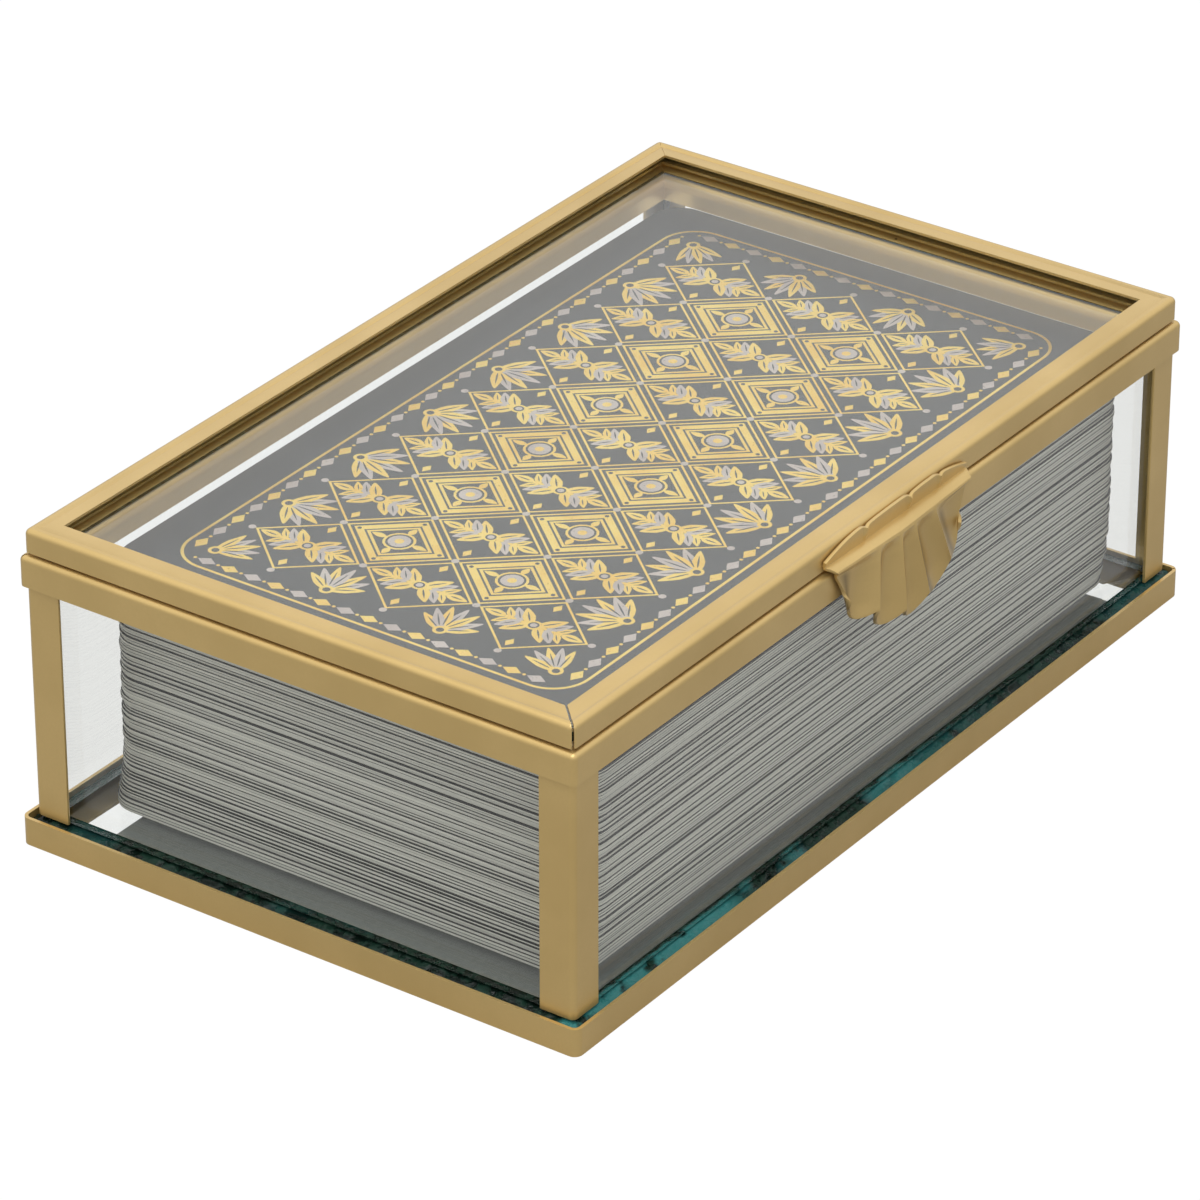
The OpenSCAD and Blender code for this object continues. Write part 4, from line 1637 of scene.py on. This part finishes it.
    def palmette(self, at: Point, angle: float, radius: float, leaves: int, spread: float) -> None:
        """Stamps a fan of leaves.

        Args:
            at: its foot, in millimetres.
            angle: direction of the middle leaf, in degrees.
            radius: length of the middle leaf in millimetres.
            leaves: how many leaves it has.
            spread: angle of the outermost leaves from the middle one, in degrees.
        """
        for number in range(leaves):
            lean = spread * (2.0 * number / (leaves - 1) - 1.0)
            length = radius * (1.0 - self.fan_taper + self.fan_taper * math.cos(math.radians(lean)))
            foil = Foil.SILVER if number % 2 else Foil.GOLD
            self.veined_leaf(2, at, (length, self.fan_leaf * radius), angle + lean, foil)
        self.rings(self.dot, 4, at, self.fan_beads)

    def outline(self, at: Point) -> None:
        """Stamps the lines round a cell and the beads on its corners."""
        wide, tall = self.cell[0] / 2, self.cell[1] / 2
        outer, inner = self.cell_line
        gold = (Foil.GOLD, wide - outer[0], tall - outer[1])
        ink = (Foil.INK, wide - inner[0], tall - inner[1])
        self.rings(self.lozenge, 0, at, (gold, ink))
        for x, y in ((wide, 0.0), (-wide, 0.0), (0.0, tall), (0.0, -tall)):
            self.stamp(self.dot, Foil.SILVER, 2, (at[0] + x, at[1] + y), self.cell_bead)

    def sprig(self, at: Point) -> None:
        """Stamps a sprig that grows both ways from the middle of a cell."""
        for side in (1.0, -1.0):
            self.stamp(self.leaf, Foil.GOLD, 2, at, self.stem, 90.0 * side)
            self.veined_leaf(3, (at[0], at[1] + self.tip_rise * side), self.tip, 90.0 * side)
            for rise, length, foil in self.pairs:
                for lean in (self.pair_lean, -self.pair_lean):
                    spot = (at[0], at[1] + rise * side)
                    self.veined_leaf(3, spot, (length, self.pair_width * length), 90.0 * side + lean, foil)
        self.rings(self.dot, 5, at, self.sprig_beads)
        for x in (-self.sprig_gem_place, self.sprig_gem_place):
            self.stamp(self.lozenge, Foil.GOLD, 3, (at[0] + x, at[1]), self.sprig_gem)

    def stone(self, at: Point) -> None:
        """Stamps a ringed stone in a broad gold lozenge."""
        self.rings(self.lozenge, 2, at, self.stone_frames)
        for angle in (0.0, 90.0, 180.0, 270.0):
            x, y = math.cos(math.radians(angle)), math.sin(math.radians(angle))
            spot = (at[0] + self.stud_place[0] * x, at[1] + self.stud_place[1] * y)
            self.stamp(self.dot, Foil.INK, 4, spot, self.stud)
            spot = (at[0] + self.claw_place * x, at[1] + self.claw_place * y)
            claw = (self.claw[0] + self.claw_growth * abs(y), self.claw[1])
            self.stamp(self.leaf, Foil.GOLD, 6, spot, claw, angle)
        self.rings(self.dot, 7, at, self.stone_beads)

    def ring_line(self, half: Point, corner: float, width: float) -> None:
        """Stamps a rectangular line with round corners.

        Args:
            half: half sizes of its outer edge, in millimetres.
            corner: radius of its corners in millimetres.
            width: width of the line in millimetres.
        """
        ring = Bench.plate("border_line", (half[0] * MM, half[1] * MM), 0.0, corner * MM, steps=10)
        bpy.ops.mesh.inset(thickness=width * MM, depth=0.0)
        bpy.ops.mesh.delete(type="FACE")
        Bench.leave()
        self.press(ring.data, Foil.GOLD, 0, Matrix())
        bpy.data.objects.remove(ring)

    def edging(self) -> None:
        """Stamps the two border lines and the lozenges between them."""
        self.ring_line(self.border, *self.border_lines[0])
        inner = (self.border[0] - self.band, self.border[1] - self.band)
        self.ring_line(inner, *self.border_lines[1])
        long, high = self.border[0] - self.band / 2, self.border[1] - self.band / 2
        pitch_x, pitch_y = self.chain_pitch
        across = self.chain_link[::-1]
        for number in range(-self.chain_reach[0], self.chain_reach[0] + 1):
            foil = Foil.SILVER if number % 2 else Foil.GOLD
            for side in (1.0, -1.0):
                y = high * side
                self.stamp(self.lozenge, foil, 1, (pitch_x * number, y), self.chain_link)
                self.stamp(self.dot, Foil.GOLD, 1, (pitch_x * (number + 0.5), y), self.chain_dot)
                if abs(number) <= self.chain_reach[1]:
                    x = long * side
                    self.stamp(self.lozenge, foil, 1, (x, pitch_y * number), across)
                    self.stamp(self.dot, Foil.GOLD, 1, (x, pitch_y * (number + 0.5)), self.chain_dot)

    def lattice(self) -> None:
        """Stamps the cells, and the palmettes in the half cells along the border."""
        wide, tall = self.cell
        for column in range(-self.columns, self.columns + 1):
            for row in range(-self.rows, self.rows + 1):
                self.outline((column * wide, row * tall))
                self.sprig((column * wide, row * tall))
        reach = ((self.columns + 0.5) * wide, (self.rows + 0.5) * tall)
        for column in range(-self.columns, self.columns):
            x = (column + 0.5) * wide
            for row in range(-self.rows, self.rows):
                self.outline((x, (row + 0.5) * tall))
                self.stone((x, (row + 0.5) * tall))
            for side in (1.0, -1.0):
                self.palmette((x, reach[1] * side), -90.0 * side, *self.long_fan)
        for side in (1.0, -1.0):
            for row in range(-self.rows, self.rows):
                spot = (reach[0] * side, (row + 0.5) * tall)
                self.palmette(spot, 90.0 + 90.0 * side, *self.short_fan)
            for end in (1.0, -1.0):
                angle = math.degrees(math.atan2(-side, -end))
                self.palmette((reach[0] * end, reach[1] * side), angle, *self.corner_fan)

    def model(self) -> bpy.types.Object:
        """Models the whole ornament.

        Returns:
            The foil as thin closed shapes on the card.
        """
        self.leaf, self.lozenge, self.dot = Blanks.leaf(), Blanks.lozenge(), Blanks.dot()
        self.edging()
        self.lattice()
        piece = bpy.data.objects.new("top_card_foil", bpy.data.meshes.new("top_card_foil"))
        bpy.context.collection.objects.link(piece)
        self.sheet.to_mesh(piece.data)
        self.sheet.free()
        for blank in (self.leaf, self.lozenge, self.dot):
            bpy.data.meshes.remove(blank)
        Bench.clear()
        piece.select_set(True)
        Bench.apply(piece, "SOLIDIFY", thickness=self.thick, offset=-1.0)
        return piece

    def build(self, gold: bpy.types.Material, silver: bpy.types.Material, ink: bpy.types.Material) -> None:
        """Models the foil and hands it over.

        Args:
            gold: finish of the gold foil.
            silver: finish of the silver foil.
            ink: finish of the lines that the card shows through.
        """
        self.hand_over(self.model(), Body.DECK, Slot.CARD_BACK, [], gold, silver, ink)


@dataclass
class Studio:
    """Floor, light and camera."""

    eye: tuple[float, float, float] = (-586.5 * MM, -412.3 * MM, 420.1 * MM)
    target: tuple[float, float, float] = (-9.1 * MM, -3.48 * MM, 21.89 * MM)
    lens: float = 196.0
    sensor: float = 36.0
    clip_start: float = 10.0 * MM
    floor_size: float = 8.0
    floor_drop: float = 0.05 * MM
    ambient: Point = (0.47, 0.78)
    ambient_heights: Point = (-0.2, 0.9)
    mirrored: Point = (0.45, 1.0)
    mirrored_heights: Point = (0.0, 0.45)
    key_eye: tuple[float, float, float] = (-0.35, -0.1, 0.95)
    key_power: float = 4.1
    key_size: float = 0.8
    lamp_target: tuple[float, float, float] = (0.0, 0.0, 20.0 * MM)

    @staticmethod
    def aim(eye: Sequence[float], target: Sequence[float]) -> Euler:
        """Returns the turn of a camera or lamp that looks from one place at another."""
        return (Vector(target) - Vector(eye)).to_track_quat("-Z", "Y").to_euler()

    def camera(self) -> None:
        """Sets the camera at the photograph's angle."""
        data = bpy.data.cameras.new("photo_camera")
        data.lens = self.lens
        data.sensor_width = self.sensor
        data.clip_start = self.clip_start
        view = bpy.data.objects.new("photo_camera", data)
        bpy.context.collection.objects.link(view)
        view.location = self.eye
        view.rotation_euler = self.aim(self.eye, self.target)
        bpy.context.scene.camera = view

    def floor(self) -> None:
        """Lays the studio floor."""
        Bench.clear()
        bpy.ops.mesh.primitive_plane_add(size=self.floor_size)
        ground = Bench.name("studio_floor")
        Bench.edit(ground)
        bpy.ops.transform.translate(value=(0.0, 0.0, -self.floor_drop))
        Bench.leave()
        ground.data.materials.append(StageFinish().material())

    def lamp(self, label: str, eye: Sequence[float], power: float, size: float) -> None:
        """Hangs a soft square lamp.

        Args:
            label: name of the lamp.
            eye: its place, from which it faces the box.
            power: power in watts.
            size: edge length in metres.
        """
        data = bpy.data.lights.new(label, "AREA")
        data.energy = power
        data.size = size
        lamp = bpy.data.objects.new(label, data)
        bpy.context.collection.objects.link(lamp)
        lamp.location = eye
        lamp.rotation_euler = self.aim(eye, self.lamp_target)

    def sky(self) -> None:
        """Sets a pale world, brighter overhead, that shows white to the camera and behind glass."""
        world = bpy.data.worlds.new("studio_sky")
        world.use_nodes = True
        bpy.context.scene.world = world
        kit = Nodes(world.node_tree)
        way = kit.add("TexCoord").outputs["Generated"]
        height = kit.add("SeparateXYZ", {0: way}).outputs["Z"]
        soft = kit.ramp(height, *self.ambient_heights, *self.ambient)
        mirrored = kit.ramp(height, *self.mirrored_heights, *self.mirrored)
        glossy = kit.add("LightPath").outputs["Is Glossy Ray"]
        strength = kit.ramp(glossy, 0.0, 1.0, soft, mirrored)
        strength = kit.ramp(kit.rays("Camera", "Transmission"), 0.0, 1.0, strength, 1.0)
        background = world.node_tree.nodes["Background"]
        kit.link(strength, background.inputs["Strength"])
        background.inputs["Color"].default_value = WHITE

    def build(self) -> None:
        """Sets up the whole studio."""
        self.camera()
        self.floor()
        self.sky()
        self.lamp("key_lamp", self.key_eye, self.key_power, self.key_size)
        bpy.context.scene.view_settings.view_transform = "Standard"


def main() -> None:
    """Builds the studio and every sub-assembly."""
    logging.basicConfig(level=logging.INFO, format="%(name)s: %(message)s")
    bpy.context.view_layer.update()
    Studio().build()
    brass = BrassFinish().material()
    # Near black brass on the inner faces of the lid channel, tray and posts: painted shade for the shade
    # inside them.
    inside = BrassFinish(
        name="tarnished_brass",
        tone=(0.036, 0.025, 0.011),
        shade=(0.017, 0.012, 0.005),
        metallic=0.3,
        lacquer=0.0,
    ).material()
    wall = GlassFinish(name="wall_glass", tint=(0.9, 0.905, 0.893), index=1.32).material()
    floor = GlassFinish(name="floor_glass", index=1.25).material()
    edge = CutEdgeFinish().material()
    Casket().build(brass, inside, wall, floor, edge, LinerFinish().material())
    Lid().build(brass, inside, GlassFinish().material(), edge)
    ShellTab().build(brass)
    deck = Deck()
    back = CardBackFinish().material()
    deck.build(CardEdgeFinish(foot=deck.foot, pitch=deck.pitch).material(), back)
    gold = FoilFinish(tone=(1.0, 0.74, 0.17), shade=(0.93, 0.60, 0.10))
    silver = FoilFinish(tone=(0.66, 0.58, 0.54), shade=(0.55, 0.47, 0.44), name="silver_foil")
    seat = deck.place(deck.top) @ Matrix.Translation((0.0, 0.0, deck.thick))
    Ornament(seat=seat).build(gold.material(), silver.material(), back)
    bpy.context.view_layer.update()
    Bench.clear()


if __name__ == "__main__":
    main()
